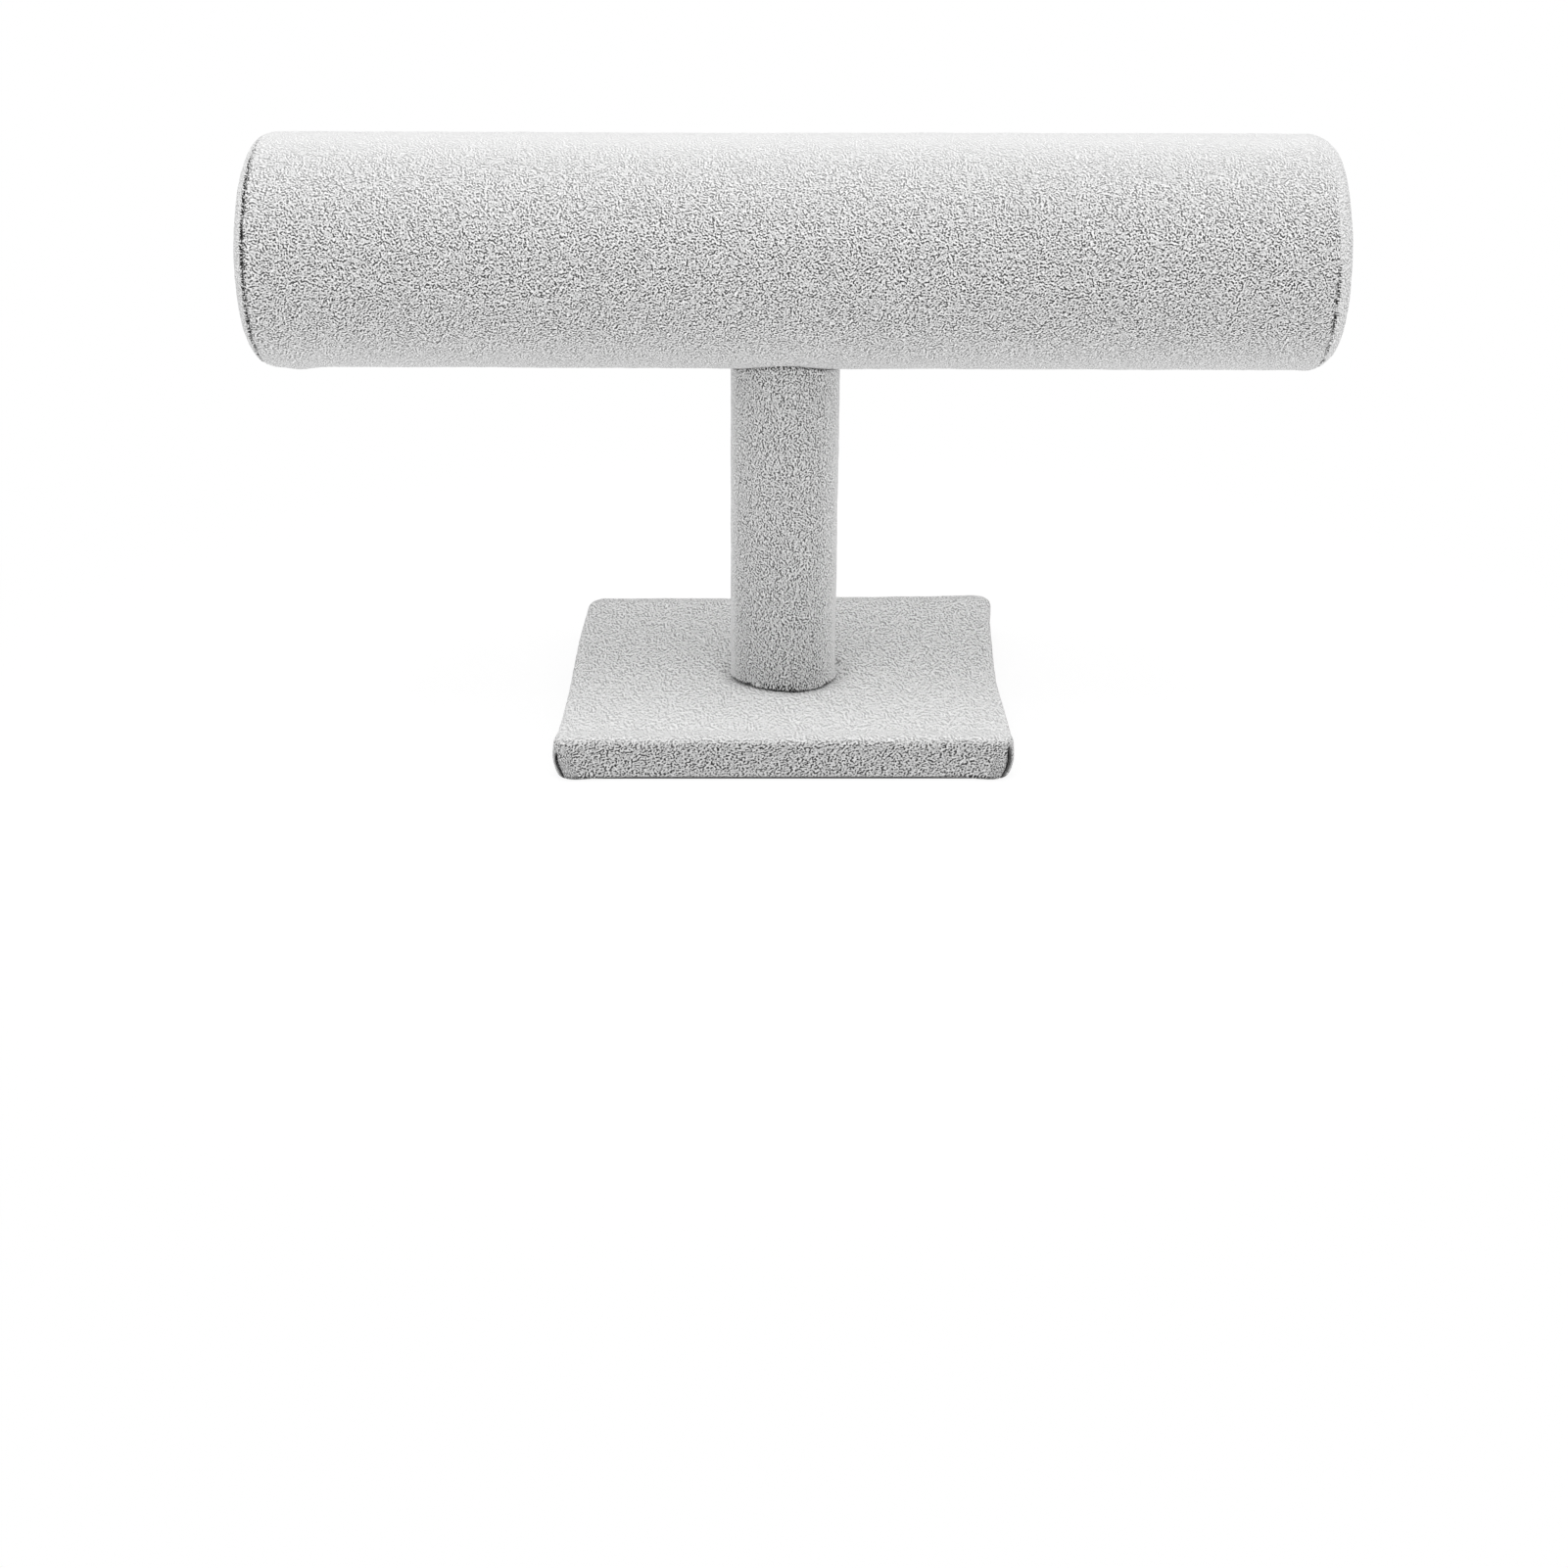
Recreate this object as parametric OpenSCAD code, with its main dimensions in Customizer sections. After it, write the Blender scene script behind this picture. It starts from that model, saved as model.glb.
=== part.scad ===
// T-bar bracelet stand: a plush-covered cardboard bar on a covered dowel post and a covered flat base.
// +X runs along the bar, -Y is the front and +Z is up. The origin is the middle of the base's underside.

/* [Bar] */
// Overall length of the bar, over both covered ends
bar_len = 240; // [150:5:320]
// Diameter of the bar over the pile
bar_dia = 52; // [44:1:80]
// Height of the bar's axis above the table
bar_axis_h = 110; // [80:1:180]
// How far the bar sits to the right of the post
bar_shift = 1.8; // [-4:0.1:4]
// Rounding of the bar's ends over the pile
bar_end_r = 5.5; // [4:0.1:8]
// Wall of the cardboard tube inside the bar
tube_wall = 2.8; // [2:0.1:4]
// Rounding of the tube's end edges
tube_edge_r = 0.8; // [0.3:0.1:1]
// How far the cloth is tucked into the tube's bore
tuck_depth = 9; // [4:0.5:20]

/* [Bar ends] */
// Thickness of the board disc in each covered end
disc_t = 1.2; // [0.8:0.1:2]
// Rounding of the cloth on both sides of the seam at each end
seam_edge_r = 1.6; // [1:0.1:2]
// Width of the cloth turned in behind the disc
end_turn_w = 7; // [4:0.5:12]

/* [Post] */
// Diameter of the post over the pile
post_dia = 24.5; // [20:0.5:34]
// How far the post stands in front of the base's middle
post_forward = 5.5; // [0:0.5:12]
// How far the dowel reaches into the bar's bore
dowel_reach = 10; // [5:0.5:16]
// Clearance round the dowel where it enters the bar
dowel_fit = 0.2; // [0.1:0.05:0.3]

/* [Base] */
// Width of the base, left to right
base_w = 101; // [80:1:160]
// Depth of the base, front to back
base_d = 90; // [70:1:140]
// Thickness of the base with its cloth and lining
base_t = 9.8; // [8.5:0.1:16]
// Radius of the base's corners seen from above
base_corner_r = 4.6; // [4:0.1:8]
// Rounding of the top edge over the pile
base_top_r = 2.2; // [1.8:0.1:3]
// Rounding of the lower edge over the pile
base_bottom_r = 1.8; // [1.5:0.1:3.8]
// Width of the cloth turned in under the board
base_turn_w = 13; // [9:0.5:20]
// How far the side cloth wraps on to the front and back faces
corner_wrap = 1.6; // [1.6:0.1:3.5]
// Height of the closed cloth above each open corner fold
corner_closed_h = 2; // [1.5:0.1:4]

/* [Cloth and lining] */
// Thickness of the plush cloth with its pile
cloth_t = 1.3; // [1:0.1:1.6]
// Thickness of the cloth where it is turned in and pressed flat
turned_t = 0.5; // [0.4:0.1:0.9]
// Gap where two cut edges of the cloth meet
cut_gap = 0.5; // [0.3:0.1:1]
// Film of glue between the cloth and what it covers
glue = 0.1; // [0.05:0.05:0.2]
// Thickness of the black lining sheet under the base
lining_t = 0.5; // [0.4:0.1:1.2]
// How far the lining stays inside the base's outline
lining_inset = 0.9; // [0.6:0.1:7]
// Radius of the lining's corners
lining_corner_r = 7; // [2:0.5:12]

/* [Screw] */
// Shank diameter of the screw that holds the post
screw_dia = 3.8; // [3:0.1:5]
// Length of the screw, head included
screw_len = 30; // [20:1:45]
// Diameter of the countersunk head
screw_head_dia = 7.6; // [6.4:0.1:9]
// Span of the cross recess in the head
recess_span = 3.6; // [2.6:0.1:4]
// Width of the recess's slots
recess_w = 1; // [0.6:0.1:1.2]
// Depth of the recess
recess_depth = 1.8; // [1:0.1:2.4]
// Clearance round the screw in its holes
screw_fit = 0.15; // [0.05:0.05:0.3]
// Depth of the dowel's pilot hole beyond the screw's tip
pilot_spare = 1; // [0.5:0.5:4]

/* [Hidden] */
$fn = 96;

// How far a cutting shape runs past what it cuts
past = 1;
// Smallest rounding on the edges of the base's board
board_edge_r = 0.3;
// Radius of the screw's blunt tip
screw_tip_r = 0.3;

plush = [0.82, 0.82, 0.82];
black_card = [0.08, 0.08, 0.08];
grey_board = [0.55, 0.54, 0.52];
kraft_card = [0.66, 0.53, 0.38];
pine = [0.82, 0.68, 0.47];
steel = [0.75, 0.76, 0.78];

// How far a core lies inside the outer face of the cloth
skin = cloth_t + glue;

board_w = base_w - 2 * skin;
board_d = base_d - 2 * skin;
board_z = lining_t + turned_t + glue;
board_t = base_t - skin - board_z;
board_corner_r = base_corner_r - skin;
board_top_r = max(board_edge_r, base_top_r - skin);
board_bottom_r = max(board_edge_r, base_bottom_r - skin);

bar_r = bar_dia / 2;
tube_r = bar_r - skin;
bore_r = tube_r - tube_wall;
tuck_r = bore_r - glue;

// Along the bar, from its end: cloth, disc, turned cloth, seam, turned cloth, tube
disc_z = turned_t + glue;
end_t = disc_z + disc_t + skin;
cover_len = bar_len - 2 * end_t;
tube_len = cover_len - 2 * (turned_t + glue);
core_end_r = bar_end_r - skin;
disc_r = bar_r - bar_end_r + sqrt(pow(core_end_r, 2) - pow(core_end_r - disc_t, 2));

post_r = post_dia / 2;
dowel_r = post_r - skin;
dowel_top = bar_axis_h - bore_r + dowel_reach;

head_h = (screw_head_dia - screw_dia) / 2;
screw_hole_r = screw_dia / 2 + screw_fit;

// Outline of a slab's edge in section, from the corner's centre out to the face
module edge_section(reach, t, top_r, bottom_r) {
    square([reach - max(top_r, bottom_r), t]);
    translate([0, bottom_r]) square([reach, t - top_r - bottom_r]);
    translate([0, bottom_r]) square([reach - top_r, t - bottom_r]);
    translate([reach - bottom_r, bottom_r]) circle(bottom_r);
    translate([reach - top_r, t - top_r]) circle(top_r);
}

// Flat slab with rounded corners in plan and its own rounding along the top and the lower edge
module rounded_slab(w, d, t, corner_r, top_r, bottom_r) {
    spans = [w - 2 * corner_r, d - 2 * corner_r];
    translate([-spans[0] / 2, -spans[1] / 2, 0]) cube([spans[0], spans[1], t]);
    for (turn = [0:3]) {
        along = spans[turn % 2];
        across = spans[(turn + 1) % 2];
        rotate(90 * turn) {
            translate([along / 2, -across / 2, 0]) rotate([90, 0, -90])
                linear_extrude(along) edge_section(corner_r, t, top_r, bottom_r);
            translate([along / 2, -across / 2, 0]) rotate(-90)
                rotate_extrude(angle = 90) intersection() {
                    edge_section(corner_r, t, top_r, bottom_r);
                    square([corner_r, t]);
                }
        }
    }
}

// Half of a round bar's section, its outer corners rounded, for turning about the axis
module bar_section(len, r, edge_r) {
    translate([0, -len / 2]) square([r - edge_r, len]);
    translate([0, edge_r - len / 2]) square([r, len - 2 * edge_r]);
    for (end = [-1, 1])
        intersection() {
            translate([r - edge_r, end * (len / 2 - edge_r)]) circle(edge_r);
            translate([0, -len / 2]) square([r, len]);
        }
}

// The whole bar's section, a distance inside the outer face of its cloth
module bar_form(inset) {
    bar_section(bar_len - 2 * inset, bar_r - inset, bar_end_r - inset);
}

// Lays a solid that was turned about Z along the bar's axis
module on_bar_axis() {
    translate([bar_shift, -post_forward, bar_axis_h]) rotate([0, 90, 0]) children();
}

module on_post_axis() {
    translate([0, -post_forward, 0]) children();
}

module base_board() {
    color(black_card) difference() {
        translate([0, 0, board_z])
            rounded_slab(board_w, board_d, board_t, board_corner_r, board_top_r, board_bottom_r);
        on_post_axis() {
            cylinder(r = screw_hole_r, h = base_t);
            translate([0, 0, board_z - past])
                cylinder(
                    r1 = screw_head_dia / 2 + screw_fit + past,
                    r2 = screw_hole_r,
                    h = head_h + past);
        }
    }
}

// One sheet of plush over the top and sides, turned in under the board and cut at the corners
module base_cover() {
    window_w = base_w - 2 * base_turn_w;
    window_d = base_d - 2 * base_turn_w;
    color(plush) difference() {
        translate([0, 0, lining_t])
            rounded_slab(base_w, base_d, base_t - lining_t, base_corner_r, base_top_r, base_bottom_r);
        translate([0, 0, board_z - glue])
            rounded_slab(
                board_w + 2 * glue, board_d + 2 * glue, board_t + 2 * glue,
                board_corner_r + glue, board_top_r + glue, board_bottom_r + glue);
        translate([-window_w / 2, -window_d / 2, 0]) cube([window_w, window_d, board_z]);
        for (side = [-1, 1], face = [-1, 1]) {
            corner_fold(side, face);
            corner_mitre(side, face);
        }
        on_post_axis() cylinder(r = screw_hole_r, h = base_t + past);
    }
}

// Open slit where the front or back flap stops short of the side cloth
module corner_fold(side, face) {
    depth = base_corner_r + past;
    translate([side * (base_w / 2 - corner_wrap), face * (base_d / 2 + past - depth / 2), 0])
        translate([-cut_gap / 2, -depth / 2, 0]) cube([cut_gap, depth, base_t - corner_closed_h]);
}

// Mitred cut between two flaps that are turned in under the board
module corner_mitre(side, face) {
    translate([side * (base_w / 2 - base_turn_w), face * (base_d / 2 - base_turn_w), 0])
        rotate(atan2(face, side))
            translate([-past, -cut_gap / 2, 0]) cube([2 * base_turn_w, cut_gap, board_z]);
}

// Sheet glued over the turned-in cloth
module base_lining() {
    sheet_w = base_w - 2 * lining_inset;
    sheet_d = base_d - 2 * lining_inset;
    color(black_card) linear_extrude(lining_t) {
        square([sheet_w - 2 * lining_corner_r, sheet_d], center = true);
        square([sheet_w, sheet_d - 2 * lining_corner_r], center = true);
        for (x = [-1, 1], y = [-1, 1])
            translate([x * (sheet_w / 2 - lining_corner_r), y * (sheet_d / 2 - lining_corner_r)])
                circle(lining_corner_r);
    }
}

// Countersunk screw driven up through the board into the dowel's end grain
module base_screw() {
    shank_r = screw_dia / 2;
    tip_h = screw_dia;
    color(steel) on_post_axis() translate([0, 0, board_z]) difference() {
        union() {
            cylinder(r1 = screw_head_dia / 2, r2 = shank_r, h = head_h);
            cylinder(r = shank_r, h = screw_len - tip_h);
            translate([0, 0, screw_len - tip_h]) cylinder(r1 = shank_r, r2 = screw_tip_r, h = tip_h);
        }
        for (turn = [0, 90])
            rotate(turn) translate([-recess_span / 2, -recess_w / 2, -past])
                cube([recess_span, recess_w, recess_depth + past]);
    }
}

module post_dowel() {
    color(pine) on_post_axis() difference() {
        translate([0, 0, base_t]) cylinder(r = dowel_r, h = dowel_top - base_t);
        cylinder(r = screw_hole_r, h = board_z + screw_len + pilot_spare);
    }
}

// Plush sleeve with its upper edge cut to the bar and its joint at the back
module post_cover() {
    color(plush) difference() {
        on_post_axis() difference() {
            translate([0, 0, base_t]) cylinder(r = post_r, h = bar_axis_h - base_t);
            cylinder(r = dowel_r + glue, h = bar_axis_h + past);
            translate([-cut_gap / 2, 0, 0]) cube([cut_gap, post_r + past, bar_axis_h + past]);
        }
        on_bar_axis() cylinder(r = bar_r + glue, h = bar_len, center = true);
    }
}

// The tube's section, made bigger all round by a clearance
module tube_form(clear) {
    intersection() {
        bar_form(skin - clear);
        bar_section(tube_len + 2 * clear, tube_r + clear, tube_edge_r + clear);
    }
}

module bar_tube() {
    color(kraft_card) difference() {
        on_bar_axis() difference() {
            rotate_extrude() tube_form(0);
            cylinder(r = bore_r, h = tube_len + past, center = true);
        }
        on_post_axis() cylinder(r = dowel_r + dowel_fit, h = bar_axis_h);
    }
}

// Plush wrapped round the tube, joined along the underside and tucked into both ends
module bar_cover() {
    tuck_h = turned_t + tuck_depth;
    color(plush) difference() {
        on_bar_axis() rotate_extrude() {
            difference() {
                intersection() {
                    bar_form(0);
                    bar_section(cover_len, bar_r, seam_edge_r);
                }
                tube_form(glue);
                translate([0, -bar_len / 2]) square([tuck_r - turned_t, bar_len]);
            }
            for (end = [-1, 1])
                translate([tuck_r - turned_t, end * (cover_len - tuck_h) / 2 - tuck_h / 2])
                    square([turned_t, tuck_h]);
        }
        on_post_axis() cylinder(r = dowel_r + dowel_fit, h = bar_axis_h);
        translate([bar_shift - bar_len / 2, -post_forward - cut_gap / 2, bar_axis_h - bar_r - past])
            cube([bar_len, cut_gap, bar_r]);
    }
}

// Places an end piece, drawn with its seam at height 0, on the left (-1) or right (1) end of the bar
module on_bar_end(side) {
    on_bar_axis() rotate([side < 0 ? 180 : 0, 0, 0]) translate([0, 0, cover_len / 2]) children();
}

// The disc's section, made bigger all round by a clearance
module disc_form(clear) {
    intersection() {
        translate([0, -cover_len / 2]) bar_form(skin - clear);
        translate([0, disc_z - clear]) square([bar_r, disc_t + 2 * clear]);
    }
}

module end_disc(side) {
    color(grey_board) on_bar_end(side) rotate_extrude() disc_form(0);
}

// Plush stretched over the disc and turned in behind its edge
module end_cover(side) {
    color(plush) on_bar_end(side) rotate_extrude() difference() {
        intersection() {
            translate([0, -cover_len / 2]) bar_form(0);
            translate([0, bar_r]) bar_section(2 * bar_r, bar_r, seam_edge_r);
        }
        disc_form(glue);
        translate([0, -past]) square([disc_r - end_turn_w, disc_z + past]);
    }
}

base_board();
base_cover();
base_lining();
base_screw();
post_dowel();
post_cover();
bar_tube();
bar_cover();
end_disc(-1);  // end_disc_left
end_disc(1);  // end_disc_right
end_cover(-1);  // end_cover_left
end_cover(1);  // end_cover_right
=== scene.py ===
# Bracelet display stand: plush over a bar, post and base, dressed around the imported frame
# +X runs along the bar, -Y is the front, +Z is up, everything in metres

import math

import bmesh
import bpy
import numpy as np
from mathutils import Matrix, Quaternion, Vector, noise


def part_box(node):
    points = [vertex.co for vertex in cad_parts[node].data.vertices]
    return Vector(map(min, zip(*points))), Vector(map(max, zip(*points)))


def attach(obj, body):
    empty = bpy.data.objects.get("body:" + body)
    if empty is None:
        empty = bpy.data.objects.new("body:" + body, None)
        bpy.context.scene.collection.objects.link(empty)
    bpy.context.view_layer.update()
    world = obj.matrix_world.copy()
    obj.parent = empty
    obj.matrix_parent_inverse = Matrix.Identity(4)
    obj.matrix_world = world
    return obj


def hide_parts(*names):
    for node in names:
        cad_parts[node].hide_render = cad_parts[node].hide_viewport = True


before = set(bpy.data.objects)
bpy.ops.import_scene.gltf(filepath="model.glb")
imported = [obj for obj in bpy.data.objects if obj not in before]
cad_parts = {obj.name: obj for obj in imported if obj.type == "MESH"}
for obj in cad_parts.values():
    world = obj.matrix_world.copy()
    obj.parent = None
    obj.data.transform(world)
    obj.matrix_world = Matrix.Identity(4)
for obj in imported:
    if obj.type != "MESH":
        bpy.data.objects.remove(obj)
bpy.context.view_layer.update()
mm = 0.001


# Meshes

# what each vertex keeps of its pile: the way it lies, how open it stands with painted light and shade by
# the way it faces, how much painted shade darkens its gaps, and how much painted shade evenly darkens all
# of it
pileValues = ("lean", "ruffleAndShading", "shade", "paintedShade")


def newShell():
    return dict(points=[], nap=[], patches=[], count=0, **{name: [] for name in pileValues})


def addPoints(shell, points, nap, lean=0.0, ruffleAndShading=1.0, shade=0.0, paintedShade=0.0):
    # points and nap are grids of places in space and on the flat cloth; gives back the vertex numbers
    shape = points.shape[:-1]
    size = int(np.prod(shape))
    shell["points"].append(points.reshape(-1, 3))
    shell["nap"].append(np.asarray(nap, float).reshape(-1, 2))
    for name, value in zip(pileValues, (lean, ruffleAndShading, shade, paintedShade)):
        shell[name].append(np.broadcast_to(value, shape).reshape(-1).astype(float))
    numbers = np.arange(shell["count"], shell["count"] + size).reshape(shape)
    shell["count"] += size
    return numbers


def addGrid(shell, numbers, spots, chart):
    # quads over a grid of vertex numbers, flat spots in the same grid
    corners = [(slice(None, -1), slice(None, -1)), (slice(1, None), slice(None, -1)),
               (slice(1, None), slice(1, None)), (slice(None, -1), slice(1, None))]
    faces = np.stack([numbers[c] for c in corners], -1).reshape(-1, 4)
    flat = np.stack([spots[c] for c in corners], -2).reshape(-1, 4, 2)
    whole = (faces[:, 0] != faces[:, 3]) & (faces[:, 1] != faces[:, 2])
    whole &= (faces[:, 0] != faces[:, 1]) & (faces[:, 3] != faces[:, 2])
    shell["patches"].append((chart, faces[whole].tolist(), flat[whole].tolist()))
    for face, flatFace in zip(faces[~whole].tolist(), flat[~whole].tolist()):
        kept = [k for k in range(4) if face[k] != face[k - 1]]
        if len(kept) == 3:
            shell["patches"].append((chart, [[face[k] for k in kept]], [[flatFace[k] for k in kept]]))


def addStrip(shell, first, second, firstKey, secondKey, chart, firstSpots=None, secondSpots=None, width=mm):
    # faces between two rows of vertices that follow the same line, matched by their keys
    if firstSpots is None:
        firstSpots = [(key, 0.0) for key in firstKey]
        secondSpots = [(key, width) for key in secondKey]
    faces, flat = [], []
    i = j = 0
    while i < len(first) - 1 or j < len(second) - 1:
        canFirst, canSecond = i < len(first) - 1, j < len(second) - 1
        together = canFirst and canSecond and abs(firstKey[i + 1] - secondKey[j + 1]) < 1e-9
        corners = [(first[i], firstSpots[i])]
        if together or (canFirst and (not canSecond or firstKey[i + 1] < secondKey[j + 1])):
            i += 1
            corners.append((first[i], firstSpots[i]))
            if together:
                corners.append((second[j + 1], secondSpots[j + 1]))
            corners.append((second[j], secondSpots[j]))
            j += together
        else:
            corners.append((second[j + 1], secondSpots[j + 1]))
            corners.append((second[j], secondSpots[j]))
            j += 1
        kept = [k for k in range(len(corners)) if corners[k][0] != corners[k - 1][0]]
        if len(kept) > 2:
            faces.append([int(corners[k][0]) for k in kept])
            flat.append([list(corners[k][1]) for k in kept])
    shell["patches"].append((chart, faces, flat))


def packCharts(patches, shares):
    # places each chart of the bake map on shelves inside the unit square, none over another
    reach = {}
    for chart, _, flat in patches:
        if not flat:
            continue
        spots = np.concatenate([np.array(f) for f in flat])
        low, high = spots.min(0), spots.max(0)
        if chart in reach:
            low, high = np.minimum(low, reach[chart][0]), np.maximum(high, reach[chart][1])
        reach[chart] = (low, high)
    margin, rimShare = 0.006, 0.3
    shares = {c: shares.get(c, rimShare) for c in reach}
    sizes = {c: (end - start) * shares[c] for c, (start, end) in reach.items()}
    order = sorted(sizes, key=lambda c: -sizes[c][1])

    def shelves(scale):
        x, y, shelf, places = margin, margin, 0.0, {}
        for c in order:
            width, height = sizes[c] * scale
            if x + width + margin > 1:
                x, y, shelf = margin, y + shelf + margin, 0.0
            places[c] = (x, y)
            x += width + margin
            shelf = max(shelf, height)
            if x > 1:
                return None
        return places if y + shelf + margin <= 1 else None

    low, high = 0.01, 100.0
    for _ in range(50):
        middle = (low + high) / 2
        low, high = (middle, high) if shelves(middle) else (low, middle)
    places = shelves(low)
    return {c: (np.array(places[c]), reach[c][0], shares[c] * low) for c in order}


def closeShell(shell, name, material, shares):
    # one watertight mesh with its bake map and the cloth's own values on its vertices
    charts = packCharts(shell["patches"], shares)
    faces, spots = [], []
    for chart, partFaces, partFlat in shell["patches"]:
        corner, low, scale = charts[chart] if partFaces else (0, 0, 1)
        for face, flat in zip(partFaces, partFlat):
            faces.append(face)
            spots.append((np.array(flat) - low) * scale + corner)
    mesh = bpy.data.meshes.new(name)
    mesh.from_pydata(np.concatenate(shell["points"]).tolist(), [], faces)
    layer = mesh.uv_layers.new(name="OFBake")
    layer.data.foreach_set("uv", np.concatenate(spots).astype(np.float32).ravel())
    nap = np.concatenate(shell["nap"])
    nap = np.concatenate([nap, np.zeros((len(nap), 1))], 1).astype(np.float32)
    mesh.attributes.new("nap", "FLOAT_VECTOR", "POINT").data.foreach_set("vector", nap.ravel())
    for key in pileValues:
        values = np.concatenate(shell[key]).astype(np.float32)
        mesh.attributes.new(key, "FLOAT", "POINT").data.foreach_set("value", values)
    work = bmesh.new()
    work.from_mesh(mesh)
    bmesh.ops.recalc_face_normals(work, faces=work.faces)
    openEdges = sum(not e.is_manifold for e in work.edges)
    work.to_mesh(mesh)
    work.free()
    mesh.polygons.foreach_set("use_smooth", [True] * len(mesh.polygons))
    mesh.materials.append(material)
    piece = bpy.data.objects.new(name, mesh)
    bpy.context.scene.collection.objects.link(piece)
    triangles = sum(len(p.vertices) - 2 for p in mesh.polygons)
    print(f"{name}: {triangles} triangles, {openEdges} open edges")
    return piece


def closeSleeve(shell, outer, inner, ringLength, slitLength):
    # joins the two layers of a sleeve round both ends and along its slit; a layer is numbers, keys, shares
    (top, topKeys, topShare), (under, underKeys, underShare) = outer, inner
    for end in (0, -1):
        addStrip(shell, top[end], under[end], topShare * ringLength, underShare * ringLength, f"rim{end}")
        addStrip(shell, top[:, end], under[:, end], topKeys * slitLength, underKeys * slitLength,
                 f"slit{end}")


def smooth(value, start, end):
    t = np.clip((np.asarray(value, float) - start) / (end - start), 0, 1)
    return t * t * (3 - 2 * t)


def hump(value, middle, reach):
    return np.exp(-((value - middle) / reach) ** 2)


pile = dict(
    swell=0.10 * mm, swellSize=9 * mm,      # slow waves of the cloth
    clump=0.07 * mm, clumpSize=2.3 * mm,    # tufts that stand together
    # how open the tufts stand on the bar by the way its cloth faces, from straight down to straight up:
    # painted light and shade, paler on top and underneath
    facing=(-0.95, -0.45, 0.1, 0.35, 0.5, 0.65, 0.76, 0.86, 0.94, 1.0),
    ruffleAndShading=(0.79, 0.975, 0.975, 0.95, 0.91, 0.855, 0.80, 0.735, 0.61, 0.45),
)


def relief(points):
    # how far the pile stands above or below its mean height
    heights = []
    for p in points.reshape(-1, 3):
        v = Vector(p)
        swell = noise.noise(v / pile["swellSize"])
        clump = noise.noise(v / pile["clumpSize"])
        heights.append(pile["swell"] * swell + pile["clump"] * clump)
    return np.array(heights).reshape(points.shape[:-1])


def wander(places, size):
    # slow random values from about -0.7 to 0.7 at the given places
    values = [noise.noise(Vector(place) / size) for place in np.asarray(places, float).reshape(-1, 3)]
    return np.array(values).reshape(np.shape(places)[:-1])


def ruffleAndShadingFor(normalZ):
    return np.interp(normalZ, pile["facing"], pile["ruffleAndShading"])


# Materials

def place(tree, kind, inputs=None, **settings):
    node = tree.nodes.new("ShaderNode" + kind)
    for name, value in settings.items():
        setattr(node, name, value)
    for socket, value in (inputs or {}).items():
        if isinstance(value, bpy.types.NodeSocket):
            tree.links.new(value, node.inputs[socket])
        else:
            node.inputs[socket].default_value = value
    return node


def calc(tree, operation, first, second=0.0, third=0.0, clamp=False):
    node = place(tree, "Math", {0: first, 1: second, 2: third}, operation=operation, use_clamp=clamp)
    return node.outputs[0]


def newMaterial(name):
    material = bpy.data.materials.new(name)
    material.use_nodes = True
    tree = material.node_tree
    return material, tree, tree.nodes["Principled BSDF"]


def valueOf(tree, name):
    # a value that the mesh keeps on its vertices
    return place(tree, "Attribute", attribute_name=name).outputs["Fac"]


def blendColours(tree, factor, first, second):
    node = place(tree, "Mix", data_type="RGBA")
    for socket, value in ((0, factor), (6, first), (7, second)):
        if isinstance(value, bpy.types.NodeSocket):
            tree.links.new(value, node.inputs[socket])
        else:
            node.inputs[socket].default_value = value
    return node.outputs[2]


def grey(level, tint=(1.0, 1.0, 1.0)):
    return (level * tint[0], level * tint[1], level * tint[2], 1.0)


def clothNoise(tree, nap, size, detail):
    # noise over the flat cloth
    inputs = {"Vector": nap, "Scale": 1 / size, "Detail": detail}
    return place(tree, "TexNoise", inputs, noise_dimensions="2D").outputs["Fac"]


def solidNoise(tree, size, detail, roughness=0.5):
    # noise through a solid piece
    spot = place(tree, "TexCoord").outputs["Object"]
    inputs = {"Vector": spot, "Scale": 1 / size, "Detail": detail, "Roughness": roughness}
    return place(tree, "TexNoise", inputs).outputs["Fac"]


def setSurface(tree, shader, colour, height, depth, roughness):
    tree.links.new(colour, shader.inputs["Base Color"])
    bump = place(tree, "Bump", {"Height": height, "Distance": depth})
    tree.links.new(bump.outputs[0], shader.inputs["Normal"])
    shader.inputs["Roughness"].default_value = roughness


plush = dict(
    tip=0.96, middle=0.71, gap=0.01,        # linear greys from the tuft tips down to the gaps between them; the gaps' dark is painted shade
    tuftCell=0.70 * mm, tuftCount=1.0,      # reach over which tufts stay in step, and their rows over it
    combed=0.95, combedByRuffle=-0.75,      # how closely they lie one way, less where they stand open
    patchSize=5 * mm, patchDetail=3.0, turnRange=3.5,       # patches that lie one way, turns in radians
    openSize=1.4 * mm, openPower=1.6, openGain=3.1,         # spots where the tufts stand open
    hairs=0.28, hairSize=0.26 * mm,         # how far single hairs stand out of the tufts
    contrast=3.8,           # between tips and gaps
    seamReach=1.25,         # over 1, a seam's shade takes in the tips as well
    bumpDepth=0.22 * mm,
    roughness=0.95, gloss=0.15, sheen=1.0, sheenRoughness=0.4,
)


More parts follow.
